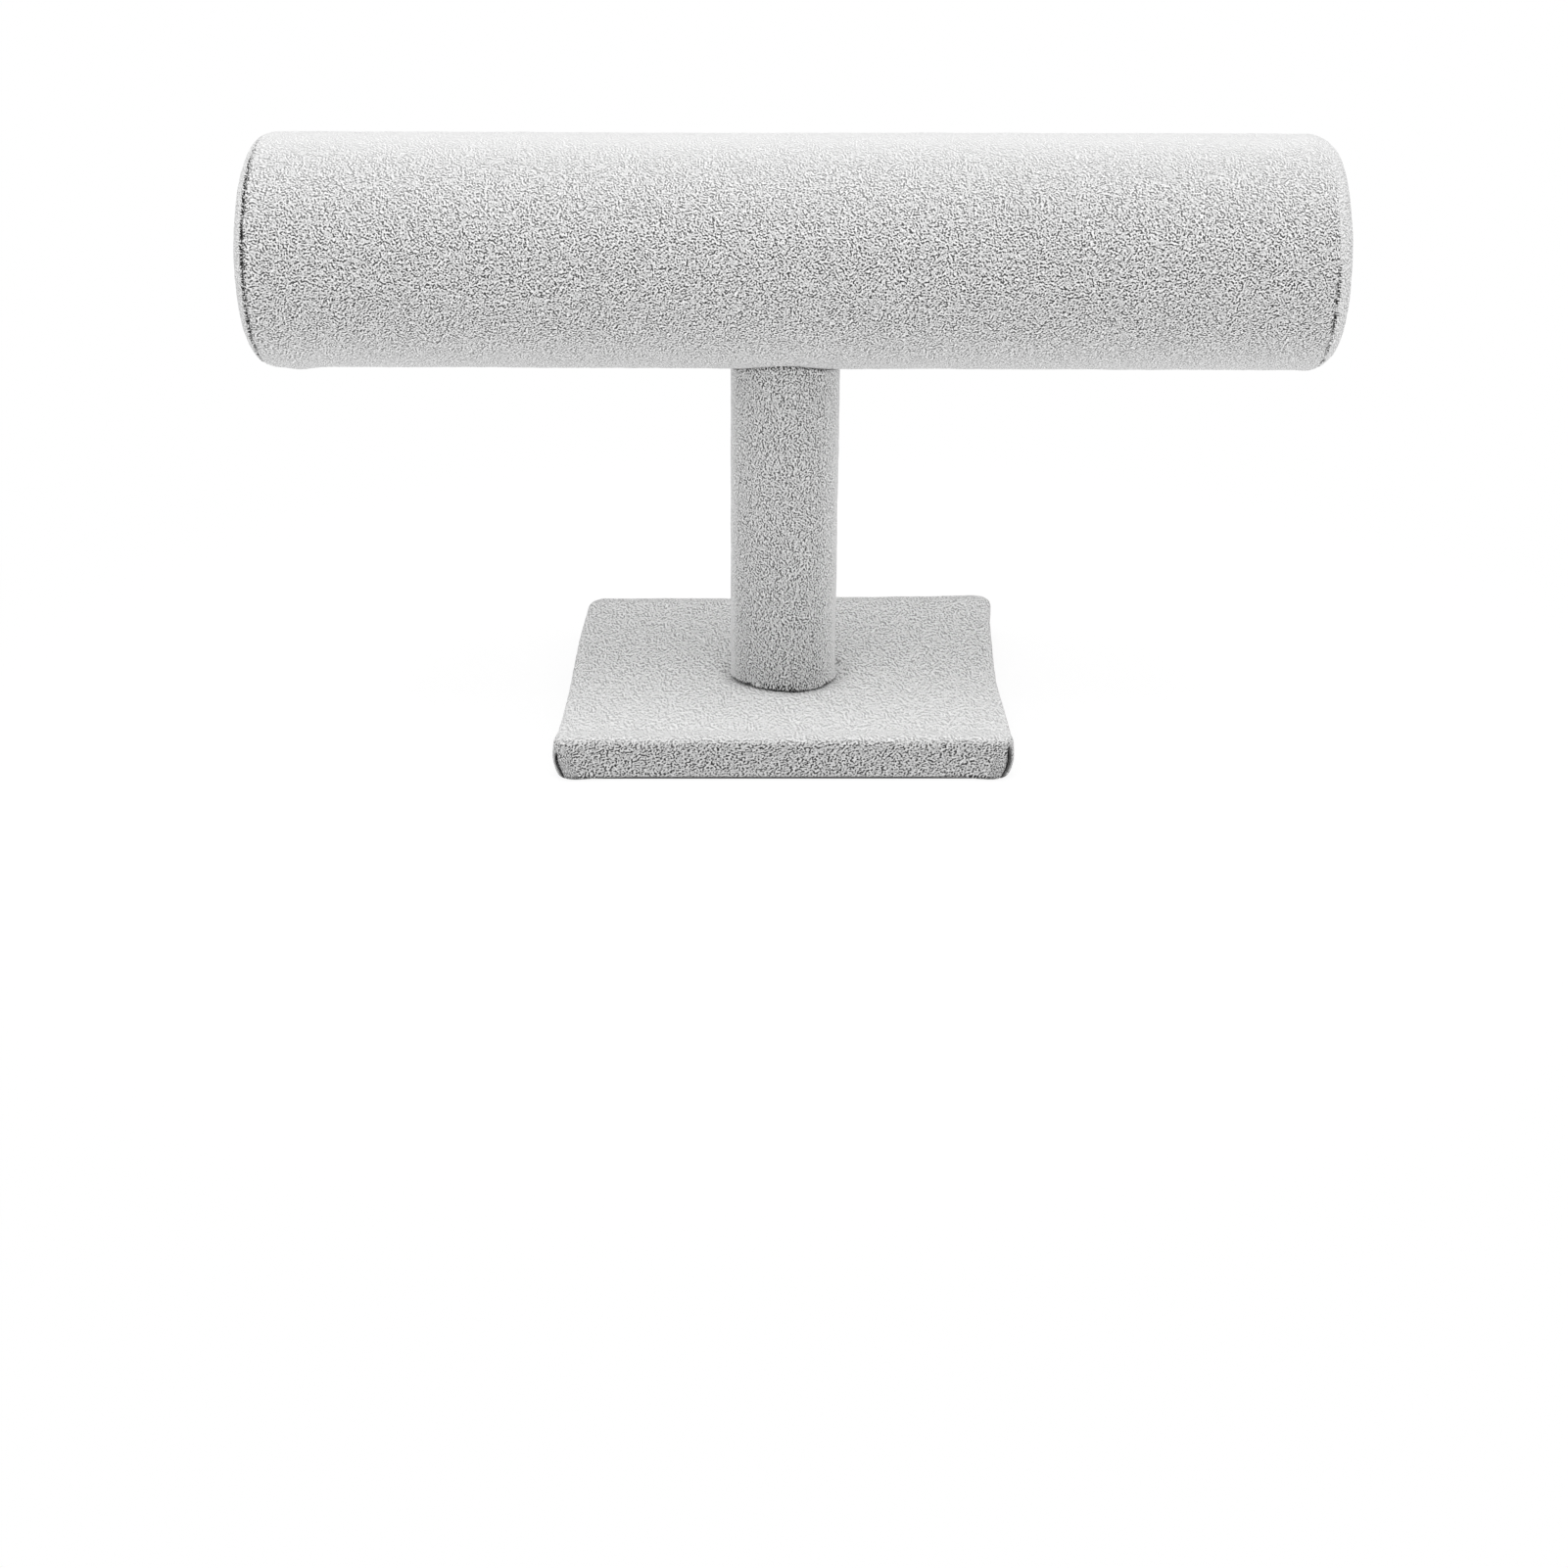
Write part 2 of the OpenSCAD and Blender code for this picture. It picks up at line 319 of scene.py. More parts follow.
def plushCloth():
    material, tree, shader = newMaterial("plushCloth")
    nap = place(tree, "Attribute", attribute_name="nap").outputs["Vector"]
    lean, ruffleAndShading, shade, paintedShade = (valueOf(tree, name) for name in pileValues)

    # the direction that the tufts lie in at each place
    patch = clothNoise(tree, nap, plush["patchSize"], plush["patchDetail"])
    turn = calc(tree, "MULTIPLY_ADD", calc(tree, "SUBTRACT", patch, 0.5), plush["turnRange"], lean)

    # short rows of tufts across that direction
    combed = calc(tree, "MULTIPLY_ADD", ruffleAndShading, plush["combedByRuffle"], plush["combed"], clamp=True)
    across = calc(tree, "ADD", turn, math.pi / 2)
    gabor = {"Vector": nap, "Scale": 1 / plush["tuftCell"], "Frequency": plush["tuftCount"],
             "Anisotropy": combed, "Orientation": across}
    rows = place(tree, "TexGabor", gabor, gabor_type="2D").outputs["Value"]
    tufts = calc(tree, "SUBTRACT", rows, 0.5)

    # some tufts stand open and some are pressed
    spread = calc(tree, "POWER", clothNoise(tree, nap, plush["openSize"], 1.0), plush["openPower"])
    opened = calc(tree, "MULTIPLY", tufts, calc(tree, "MULTIPLY", spread, plush["openGain"]))
    # and single hairs stand out of them
    hairs = clothNoise(tree, nap, plush["hairSize"], 0.0)
    opened = calc(tree, "MULTIPLY_ADD", calc(tree, "SUBTRACT", hairs, 0.5), plush["hairs"], opened)
    height = calc(tree, "MULTIPLY_ADD", opened, plush["contrast"], 0.5, clamp=True)

    # painted shade in the gaps, pale tips; a brushed area, or one painted as lit, shows fewer gaps, and a
    # seam's painted shade hides all but some tips
    brushed = calc(tree, "MULTIPLY", calc(tree, "SUBTRACT", 1.0, height), ruffleAndShading)
    hidden = calc(tree, "SUBTRACT", plush["seamReach"], height)
    depth = calc(tree, "MULTIPLY_ADD", hidden, shade, brushed, clamp=True)
    ramp = place(tree, "ValToRGB", {"Fac": depth})
    ramp.color_ramp.elements[0].position = 0.0
    ramp.color_ramp.elements[0].color = grey(plush["tip"])
    ramp.color_ramp.elements[1].position = 1.0
    ramp.color_ramp.elements[1].color = grey(plush["gap"])
    middle = ramp.color_ramp.elements.new(0.5)
    middle.color = grey(plush["middle"])
    # painted shade: the cloth is evenly darker by this value
    colour = blendColours(tree, paintedShade, ramp.outputs[0], grey(0.0))
    raised = calc(tree, "MULTIPLY", height, calc(tree, "POWER", ruffleAndShading, 0.5))
    setSurface(tree, shader, colour, raised, plush["bumpDepth"], plush["roughness"])
    shader.inputs["Specular IOR Level"].default_value = plush["gloss"]
    shader.inputs["Sheen Weight"].default_value = plush["sheen"]
    shader.inputs["Sheen Roughness"].default_value = plush["sheenRoughness"]
    return material


# Materials of what the covers hide. Greys and colours are linear, sizes are of their grain

board = dict(fibreSize=0.6 * mm, dark=0.004, pale=0.012, relief=0.05 * mm, roughness=0.85, gloss=0.2)


def blackBoard():
    # fibreboard, near black
    material, tree, shader = newMaterial("blackBoard")
    fibres = solidNoise(tree, board["fibreSize"], 3.0)
    colour = blendColours(tree, fibres, grey(board["dark"]), grey(board["pale"]))
    setSurface(tree, shader, colour, fibres, board["relief"], board["roughness"])
    shader.inputs["Specular IOR Level"].default_value = board["gloss"]
    return material


lining = dict(pebbleSize=0.9 * mm, middle=0.030, edge=0.012, relief=0.12 * mm, roughness=0.6)


def liningCard():
    # black card, embossed with a fine pebble grain
    material, tree, shader = newMaterial("liningCard")
    inputs = {"Vector": place(tree, "TexCoord").outputs["Object"], "Scale": 1 / lining["pebbleSize"]}
    pebbles = place(tree, "TexVoronoi", inputs, feature="SMOOTH_F1").outputs["Distance"]
    colour = blendColours(tree, pebbles, grey(lining["middle"]), grey(lining["edge"]))
    setSurface(tree, shader, colour, pebbles, lining["relief"], lining["roughness"])
    return material


steel = dict(
    grainSize=0.4 * mm, dull=0.5, bright=0.66, tint=(1.0, 1.0, 1.04), smoothest=0.25, roughest=0.45,
)


def zincSteel():
    material, tree, shader = newMaterial("zincSteel")
    grain = solidNoise(tree, steel["grainSize"], 3.0)
    colour = blendColours(tree, grain, grey(steel["dull"]), grey(steel["bright"], steel["tint"]))
    tree.links.new(colour, shader.inputs["Base Color"])
    rough = {"Value": grain, "To Min": steel["smoothest"], "To Max": steel["roughest"]}
    tree.links.new(place(tree, "MapRange", rough).outputs[0], shader.inputs["Roughness"])
    shader.inputs["Metallic"].default_value = 1.0
    return material


pine = dict(
    grainWide=2 * mm, grainLong=30 * mm, dark=(0.62, 0.40, 0.19, 1), pale=(0.80, 0.62, 0.38, 1),
    relief=0.05 * mm, roughness=0.75,
)


def pineDowel():
    # long grain up the dowel
    material, tree, shader = newMaterial("pineDowel")
    perMetre = (1 / pine["grainWide"], 1 / pine["grainWide"], 1 / pine["grainLong"])
    drawn = place(tree, "VectorMath", {0: place(tree, "TexCoord").outputs["Object"], 1: perMetre},
                  operation="MULTIPLY").outputs[0]
    rings = place(tree, "TexNoise", {"Vector": drawn, "Scale": 1.0, "Detail": 4.0}).outputs["Fac"]
    colour = blendColours(tree, rings, pine["dark"], pine["pale"])
    setSurface(tree, shader, colour, rings, pine["relief"], pine["roughness"])
    return material


kraft = dict(
    fibreSize=0.8 * mm, dark=(0.30, 0.19, 0.10, 1), pale=(0.45, 0.31, 0.18, 1),
    relief=0.08 * mm, roughness=0.85,
    # the spiral that the card is wound in, and the thin line between its turns
    windAngle=20, windWidth=120 * mm, windWaver=0.4, lineSharp=12.0, line=(0.20, 0.12, 0.06, 1),
)


def kraftTube():
    material, tree, shader = newMaterial("kraftTube")
    fibres = solidNoise(tree, kraft["fibreSize"], 4.0)
    turn = {"Vector": place(tree, "TexCoord").outputs["Object"], "Angle": math.radians(kraft["windAngle"])}
    tilted = place(tree, "VectorRotate", turn, rotation_type="Y_AXIS").outputs[0]
    inputs = {"Vector": tilted, "Scale": 1 / kraft["windWidth"], "Distortion": kraft["windWaver"]}
    plies = place(tree, "TexWave", inputs, wave_profile="SAW").outputs["Fac"]
    line = calc(tree, "POWER", plies, kraft["lineSharp"])
    card = blendColours(tree, fibres, kraft["dark"], kraft["pale"])
    colour = blendColours(tree, line, card, kraft["line"])
    height = calc(tree, "SUBTRACT", fibres, line)
    setSurface(tree, shader, colour, height, kraft["relief"], kraft["roughness"])
    return material


pulp = dict(
    grainSize=1.2 * mm, grainRough=0.7, dark=0.18, darkTint=(1.0, 0.97, 0.92), pale=0.34,
    paleTint=(1.0, 0.98, 0.95), relief=0.06 * mm, roughness=0.9,
)


def greyBoard():
    # pulped board with paler and darker specks
    material, tree, shader = newMaterial("greyBoard")
    grain = solidNoise(tree, pulp["grainSize"], 5.0, pulp["grainRough"])
    dark, pale = grey(pulp["dark"], pulp["darkTint"]), grey(pulp["pale"], pulp["paleTint"])
    colour = blendColours(tree, grain, dark, pale)
    setSurface(tree, shader, colour, grain, pulp["relief"], pulp["roughness"])
    return material


plushMaterial = plushCloth()
hiddenMaterials = dict(base_board=blackBoard(), base_lining=liningCard(), base_screw=zincSteel(),
                       post_dowel=pineDowel(), bar_tube=kraftTube())
hiddenMaterials["end_disc_left"] = hiddenMaterials["end_disc_right"] = greyBoard()
for nodeName, material in hiddenMaterials.items():
    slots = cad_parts[nodeName].data.materials
    slots.clear()
    slots.append(material)
print("materials made")


# Sizes read from the frame

barLow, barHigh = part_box("bar_cover")
leftLow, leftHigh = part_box("end_cover_left")
rightLow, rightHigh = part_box("end_cover_right")
postLow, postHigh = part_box("post_cover")
baseLow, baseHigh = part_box("base_cover")

barRadius = (barHigh.y - barLow.y) / 2
barAxis = Vector((0, (barHigh.y + barLow.y) / 2, barHigh.z - barRadius))
postRadius = (postHigh.x - postLow.x) / 2
postAxis = Vector(((postHigh.x + postLow.x) / 2, (postHigh.y + postLow.y) / 2, 0))


def finishPiece(piece, *nodes):
    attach(piece, "root")
    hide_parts(*nodes)


# How the real stand departs from the drawn one. Only the outer side of each cloth follows it

built = dict(
    teeLean=math.radians(0.4),      # the post and bar lean this much to the right on the base
    barGrow=0.3 * mm, barLift=0.3 * mm, faceGrow=0.15 * mm,     # fuller cloth, more on top than below
    sag=0.16 * mm, sagAt=-20 * mm, sagReach=32 * mm,            # the top is a little low near the middle
    dip=0.2 * mm, dipReach=14 * mm,                             # its underside is drawn down at the post
    bulge=0.6 * mm, bulgeAt=-108.5 * mm, bulgeReach=3.6 * mm,   # a bump under the left end
    fill=0.12 * mm, fillAt=117.5 * mm, fillReach=3.2 * mm,      # and a fuller corner under the right one
    turnsFrom=23 * mm, turnsTo=24.6 * mm,       # radii between which the turned cloth joins the open face
)

seams = dict(
    left=-0.5 * mm, right=-0.4 * mm, fade=4 * mm,           # both seams sit a little to the left
    wave=0.16 * mm, waveSize=2.2 * mm, near=12 * mm,
    depth=0.4 * mm, wide=0.6 * mm, shade=1.1, shadeFrom=0.1 * mm, shadeWide=0.75 * mm,
    rows=(0.0, 0.12, 0.3, 0.5, 0.8, 1.2, 1.7, 2.3),         # distances in mm of the mesh's rows from a seam
    # the specks of painted shade along each seam: how strong, how uneven, of what size, and the least of
    # them
    leftSpecks=(1.0, 0.9, 1.1 * mm, 0.3), rightSpecks=(0.7, 1.5, 1.4 * mm, 0.0), mostSpecks=1.5,
)


def leanTee(points, share=1.0):
    # turns the post and bar about the middle of the base's top
    c, s = math.cos(built["teeLean"]), math.sin(built["teeLean"])
    x, z = points[..., 0], points[..., 2] - baseHigh.z
    turned = np.stack([x * c + z * s, points[..., 1], baseHigh.z + z * c - x * s], -1)
    return points + (turned - points) * np.asarray(share)[..., None]


def fitBar(points, normal, share):
    # from the drawn surface of the bar and its ends to the real one
    # share fades it out where the cloth turns in
    b = built
    x = points[..., 0]
    up = normal[..., 2] / np.maximum(np.hypot(normal[..., 1], normal[..., 2]), 0.3)
    grow = b["barGrow"] + (b["faceGrow"] - b["barGrow"]) * normal[..., 0] ** 2
    rise = b["barLift"] - b["sag"] * hump(x, b["sagAt"], b["sagReach"]) * smooth(up, 0.2, 0.9)
    low = b["dip"] * hump(x, postAxis.x, b["dipReach"])
    low = low + b["bulge"] * hump(x, b["bulgeAt"], b["bulgeReach"])
    low = low + b["fill"] * hump(x, b["fillAt"], b["fillReach"])
    rise = rise - low * smooth(-up, 0.2, 0.9)
    points = points + normal * (grow * share)[..., None]
    points[..., 2] += rise * share
    return leanTee(points, share)


def seamShape(radial, side):
    # how far a seam strays along the bar in each direction round it, and how clearly it shows there
    name = "left" if side < 0 else "right"
    apart = np.full(radial.shape[:-1], side * 0.1)      # so that each seam has its own random values
    ring = np.stack([apart, radial[..., 0] * barRadius, radial[..., 1] * barRadius], -1)
    shift = seams[name] + seams["wave"] * wander(ring, seams["waveSize"])
    up = radial[..., 1]
    if side < 0:
        # fainter over the top and underneath
        shown = (1 - 0.7 * smooth(up, 0.75, 1.0)) * (1 - 0.4 * smooth(-up, 0.6, 0.8))
    else:
        # clear on the lower half alone
        shown = smooth(-up, -0.25, 0.05)
    strength, uneven, size, least = seams[name + "Specks"]
    specks = strength + uneven * wander(ring + 0.05, size)
    return shift, shown * np.clip(specks, least, seams["mostSpecks"])


def seamGroove(distance):
    return seams["depth"] * np.maximum(0, 1 - distance / seams["wide"]) ** 2


# painted shade in a seam's crease
def seamDark(distance):
    return seams["shade"] * (1 - smooth(distance, seams["shadeFrom"], seams["shadeWide"]))


# The bar's cloth: wrapped round the tube, open along the underside, tucked into both ends

barCloth = dict(
    thick=1.3 * mm, turned=0.5 * mm, endRound=5.5 * mm,
    tuckIn=4.3 * mm, tuckLength=9 * mm,     # down the tube's end, then along its bore
    slit=0.5 * mm, dowelHole=11.05 * mm, holeClear=(0.5 * mm, 4 * mm),
    across=0.78 * mm, around=0.78 * mm, seamClear=0.7 * mm,         # spacing of the mesh
    # how it turns in at its ends
    lip=1.35 * mm, lipSteps=(0.15, 0.4, 0.65, 0.85), innerSteps=(0.2, 0.5, 0.7),
    leanTop=-0.65, leanLow=0.30,            # direction of the tufts over and under the bar, from its length
)


def barClothPath(outer):
    # half the cloth's section as (key, x, radius): key is the place along the unrolled cloth
    p = barCloth
    left, right = barLow.x, barHigh.x
    bore = barRadius - p["tuckIn"]
    rows = []
    offset = 0.0 if outer else p["turned"]
    for s in np.linspace(p["tuckLength"], p["turned"] if outer else p["turned"] * 1.6, 5):
        rows.append((left - p["tuckIn"] - s, left + s, bore - p["turned"] * (1.0 if outer else 0.0)))
    lip = barRadius - (p["lip"] if outer else p["thick"])
    for k in p["lipSteps"] if outer else p["innerSteps"]:
        rows.append((left - p["tuckIn"] * (1 - k), left + offset, bore + (lip - bore) * k))
    if outer:
        near = np.array(seams["rows"]) * mm
        clear = near[-1] + p["seamClear"]
        inside = np.linspace(left + clear, right - clear, int((right - left) / p["across"]) - 6)
        places = np.concatenate([left + near, inside, right - near[::-1]])
    else:
        hole = postAxis.x + p["dowelHole"] * np.sin(np.linspace(-math.pi / 2, math.pi / 2, 31))
        close, clear = p["holeClear"]
        before = [*np.linspace(left + offset, hole[0] - clear, 8), hole[0] - close]
        after = [hole[-1] + close, *np.linspace(hole[-1] + clear, right - offset, 8)]
        places = [*before, *hole, *after]
    for x in places:
        rows.append((x, x, None))
    mirrored = []
    for key, x, r in rows:
        if r is not None:
            mirrored.append((right + left - key, right + left - x, r))
    return rows + mirrored[::-1]


def barCover():
    p = barCloth
    shell = newShell()
    turn = p["endRound"]
    grids = []
    for outer in (True, False):
        rows = barClothPath(outer)
        keys = np.array([row[0] for row in rows])
        x = np.array([row[1] for row in rows])
        isFace = np.array([row[2] is None for row in rows])
        past = np.maximum(0, np.maximum(leftLow.x + turn - x, x - (rightHigh.x - turn)))
        form = barRadius - turn + np.sqrt(np.maximum(turn ** 2 - past ** 2, 0))
        form = form - (0 if outer else p["thick"])
        radius = np.array([form[i] if isFace[i] else rows[i][2] for i in range(len(rows))])
        columns = int(2 * math.pi * barRadius / p["around"]) if outer else 60
        hole = np.sqrt(np.maximum(p["dowelHole"] ** 2 - (x - postAxis.x) ** 2, 0))
        gap = np.arcsin(np.maximum(p["slit"] / 2, hole) / radius)
        share = np.linspace(0, 1, columns)
        # round from the underside, up the back
        angle = gap[:, None] + share[None, :] * (2 * math.pi - 2 * gap[:, None])
        radial = np.stack([np.zeros_like(angle), np.sin(angle), -np.cos(angle)], -1)
        points = radial * radius[:, None, None] + np.array([0, barAxis.y, barAxis.z])
        points[..., 0] = x[:, None]
        nap = np.stack([np.broadcast_to(keys[:, None], angle.shape), -angle * barRadius], -1)
        lean = p["leanLow"] + (p["leanTop"] - p["leanLow"]) * smooth(radial[..., 2], -0.5, 0.7)
        shade = np.full(angle.shape, 0.0 if outer else 0.3)
        ruffleAndShading = ruffleAndShadingFor(radial[..., 2])
        if outer:
            tilt = past / turn * np.where(x < 0, -1, 1)
            normal = radial * np.sqrt(1 - tilt ** 2)[:, None, None]
            normal[..., 0] = tilt[:, None]
            points = points + normal * (relief(points) * isFace[:, None])[..., None]
            fit = np.where(isFace, 1.0, smooth(radius, built["turnsFrom"], built["turnsTo"]))[:, None]
            fit = np.broadcast_to(fit, angle.shape)
            shift = np.zeros_like(angle)
            for side in (-1, 1):
                seam = barLow.x if side < 0 else barHigh.x
                ends = np.abs(x - seam) < seams["near"]
                strays, shows = seamShape(radial[ends][..., 1:], side)
                distance = np.abs(x[ends] - seam)[:, None]
                shift[ends] = strays * (1 - smooth(distance, 0, seams["fade"])) * fit[ends]
                groove = seamGroove(distance) * isFace[ends][:, None] * shows
                points[ends] -= normal[ends] * groove[..., None]
                # painted shade along the seam
                shade[ends] += seamDark(distance) * shows
            points = fitBar(points, normal, fit)
            points[..., 0] += shift
        numbers = addPoints(shell, points, nap, lean, ruffleAndShading, shade)
        addGrid(shell, numbers, nap, "face" if outer else "back")
        grids.append((numbers, keys, share))
    closeSleeve(shell, *grids, 2 * math.pi * barRadius, 1.0)
    piece = closeShell(shell, "bar_cover_plush", plushMaterial, dict(face=1.0, back=0.25))
    finishPiece(piece, "bar_cover")
    return piece


# The cloth over each end: a round piece stretched over its board disc and turned in behind it

endCloth = dict(
    thick=1.3 * mm, turned=0.5 * mm, endRound=5.5 * mm,
    discRadius=23.4 * mm, discClear=0.15 * mm, turnIn=7 * mm, turnedFrom=0.8 * mm,
    step=0.62 * mm, innerStep=3.2 * mm,
    lean=-0.4, rimPaintedLight=0.75,      # paler round the rim: painted rim light
)


def endPath(outer):
    # the section from the middle of the face to the turned edge, as (radius, depth from the face)
    p = endCloth
    total = barRadius
    depth = leftHigh.x - leftLow.x
    r = p["endRound"]
    spots = []
    if outer:
        for radius in np.arange(0, total - r, p["step"]):
            spots.append((radius, 0.0))
        last = math.acos((r - depth) / r)
        near = [d * mm / r for d in seams["rows"]]
        for a in [*np.linspace(0, last - near[-1] - 0.1, 7), *(last - d for d in near[::-1])]:
            spots.append((total - r + r * math.sin(a), r - r * math.cos(a)))
        for radius in np.linspace(spots[-1][0] - p["turnedFrom"], p["discRadius"] - p["turnIn"], 6):
            spots.append((radius, depth))
    else:
        inner = r - p["thick"]
        for radius in np.arange(0, total - r, 3 * mm):
            spots.append((radius, p["thick"]))
        for a in np.linspace(0.1, math.acos((r - depth + p["turned"] + 0.6 * mm) / inner), 5):
            spots.append((total - r + inner * math.sin(a), r - inner * math.cos(a)))
        spots.append((p["discRadius"] + p["discClear"], depth - p["turned"] - 0.02 * mm))
        spots.append((p["discRadius"] - p["turnIn"], depth - p["turned"]))
    spots = np.array(spots)
    steps = np.hypot(*np.diff(spots, axis=0).T)
    return spots, np.concatenate([[0], np.cumsum(steps)])


def endCover(side):
    p = endCloth
    shell = newShell()
    faceX = leftLow.x if side < 0 else rightHigh.x
    rims = []
    for outer in (True, False):
        spots, lengths = endPath(outer)
        spacing = p["step"] if outer else p["innerStep"]
        chart = "face" if outer else "back"
        widest = int(np.argmax(spots[:, 0]))
        before = None
        for k, (radius, depth) in enumerate(spots):
            count = 1 if radius < 1e-9 else max(8, int(2 * math.pi * radius / spacing))
            share = np.linspace(0, 1, count + 1) if count > 1 else np.zeros(1)
            angle = share * 2 * math.pi
            around = np.stack([np.cos(angle), np.sin(angle)], -1)
            points = np.stack([np.full_like(angle, faceX - side * depth), barAxis.y + radius * around[:, 0],
                               barAxis.z + radius * around[:, 1]], -1)
            nap = around * lengths[k] * np.array([side, 1.0])
            bulge = radius > barRadius - p["endRound"]
            turned = 0.0
            if bulge:
                turned = math.atan2(radius - (barRadius - p["endRound"]), p["endRound"] - depth)
            normal = np.stack([np.full_like(angle, side * math.cos(turned)),
                               math.sin(turned) * around[:, 0], math.sin(turned) * around[:, 1]], -1)
            shade, ruffleAndShading = 0.0 if outer else 0.3, ruffleAndShadingFor(normal[:, 2])
            if outer:
                isFace = k <= widest
                fit = 1.0 if isFace else float(smooth(radius, built["turnsFrom"], built["turnsTo"]))
                fit = np.full_like(angle, fit)
                distance = abs(lengths[widest] - lengths[k])
                strays, shows = seamShape(around, side)
                if isFace:
                    points = points + normal * (relief(points) - seamGroove(distance) * shows)[:, None]
                # painted shade along the seam
                shade = seamDark(distance) * shows
                points = fitBar(points, normal, fit)
                points[:, 0] += strays * smooth(depth, 0, leftHigh.x - leftLow.x) * fit
                # painted rim light: fewer dark gaps round the rim
                ruffleAndShading = ruffleAndShading * (1 - (1 - p["rimPaintedLight"]) * smooth(turned, 0.0, 0.9))
            if count > 1:
                shade = np.broadcast_to(shade, angle.shape)[:-1]
                numbers = addPoints(shell, points[:-1], nap[:-1], p["lean"], ruffleAndShading[:-1], shade)
                numbers = np.append(numbers, numbers[0])
            else:
                numbers = addPoints(shell, points, nap, p["lean"])
            if before is not None:
                addStrip(shell, before[0], numbers, before[1], share, chart, before[2], nap)
            before = (numbers, share, nap)
        rims.append(before)
    addStrip(shell, rims[0][0], rims[1][0], rims[0][1] * 0.1, rims[1][1] * 0.1, "rim")
    name = "left" if side < 0 else "right"
    piece = closeShell(shell, f"end_cover_{name}_plush", plushMaterial, dict(face=1.0, back=0.3))
    finishPiece(piece, f"end_cover_{name}")
    across = 2 * endPath(True)[1][-1]
    return piece


# The post's sleeve: its top cut to the bar, its foot glued to the base, its joint at the back

postCloth = dict(
    thick=1.3 * mm, slit=0.5 * mm, headRound=0.25 * mm, clear=0.1 * mm,
    step=0.6 * mm, lean=math.radians(100),
    # it leans and widens upwards
    footX=-0.38 * mm, headX=0.23 * mm, footGrow=-0.06 * mm, headGrow=0.13 * mm,
    # painted light and shade: the sides paler, the rest evenly darker, most at the foot
    ruffleAndShading=0.93, sidePaintedLight=0.62, paintedShade=0.10, footPaintedShade=0.19, leftPaintedLight=0.6, rightPaintedLight=0.8,
    # the dark line round the foot, an undercut with painted shade in it: places across the front from left
    # to right, and its height in mm there
    footPlaces=(-1.0, -0.93, -0.62, -0.55, -0.38, 0.38, 0.45, 0.75, 0.8, 0.9, 1.0),
    footHeights=(0.4, 0.85, 0.85, 0.4, 0.45, 0.5, 0.4, 0.45, 0.75, 0.7, 0.3),
    # how deep the foot presses the base's pile, in mm, from left to right
    sinkPlaces=(-1.0, -0.93, -0.65, -0.37, 0.0, 0.2, 0.5, 0.75, 1.0),
    footSinks=(0.75, 0.7, 0.15, 0.2, 0.45, 0.72, 0.9, 1.1, 1.0),
    lineBehind=0.15 * mm, lineWave=0.5, lineWaveSize=1.5 * mm,
    headWave=0.2 * mm, headWaveSize=3 * mm, waveRadius=12 * mm,
    footInset=0.6 * mm, flare=0.35 * mm, flareTo=1.6 * mm,
    lineShade=3.0, fuzzShade=1.1, flareShade=0.5, headShade=0.5,
    speckSize=0.62 * mm, mostSpecks=1.6,
    # the mesh's rows, in mm from the foot and from the head, and how far from each the rest starts
    footRows=(0.0, 0.2, 0.4, 0.6, 0.8, 1.0, 1.25), headRows=(1.1, 0.7, 0.45, 0.25, 0.12, 0.0),
    bodyFrom=1.5 * mm, bodyTo=1.6 * mm,
)


def footSink(across):
    return np.interp(across, postCloth["sinkPlaces"], postCloth["footSinks"]) * mm


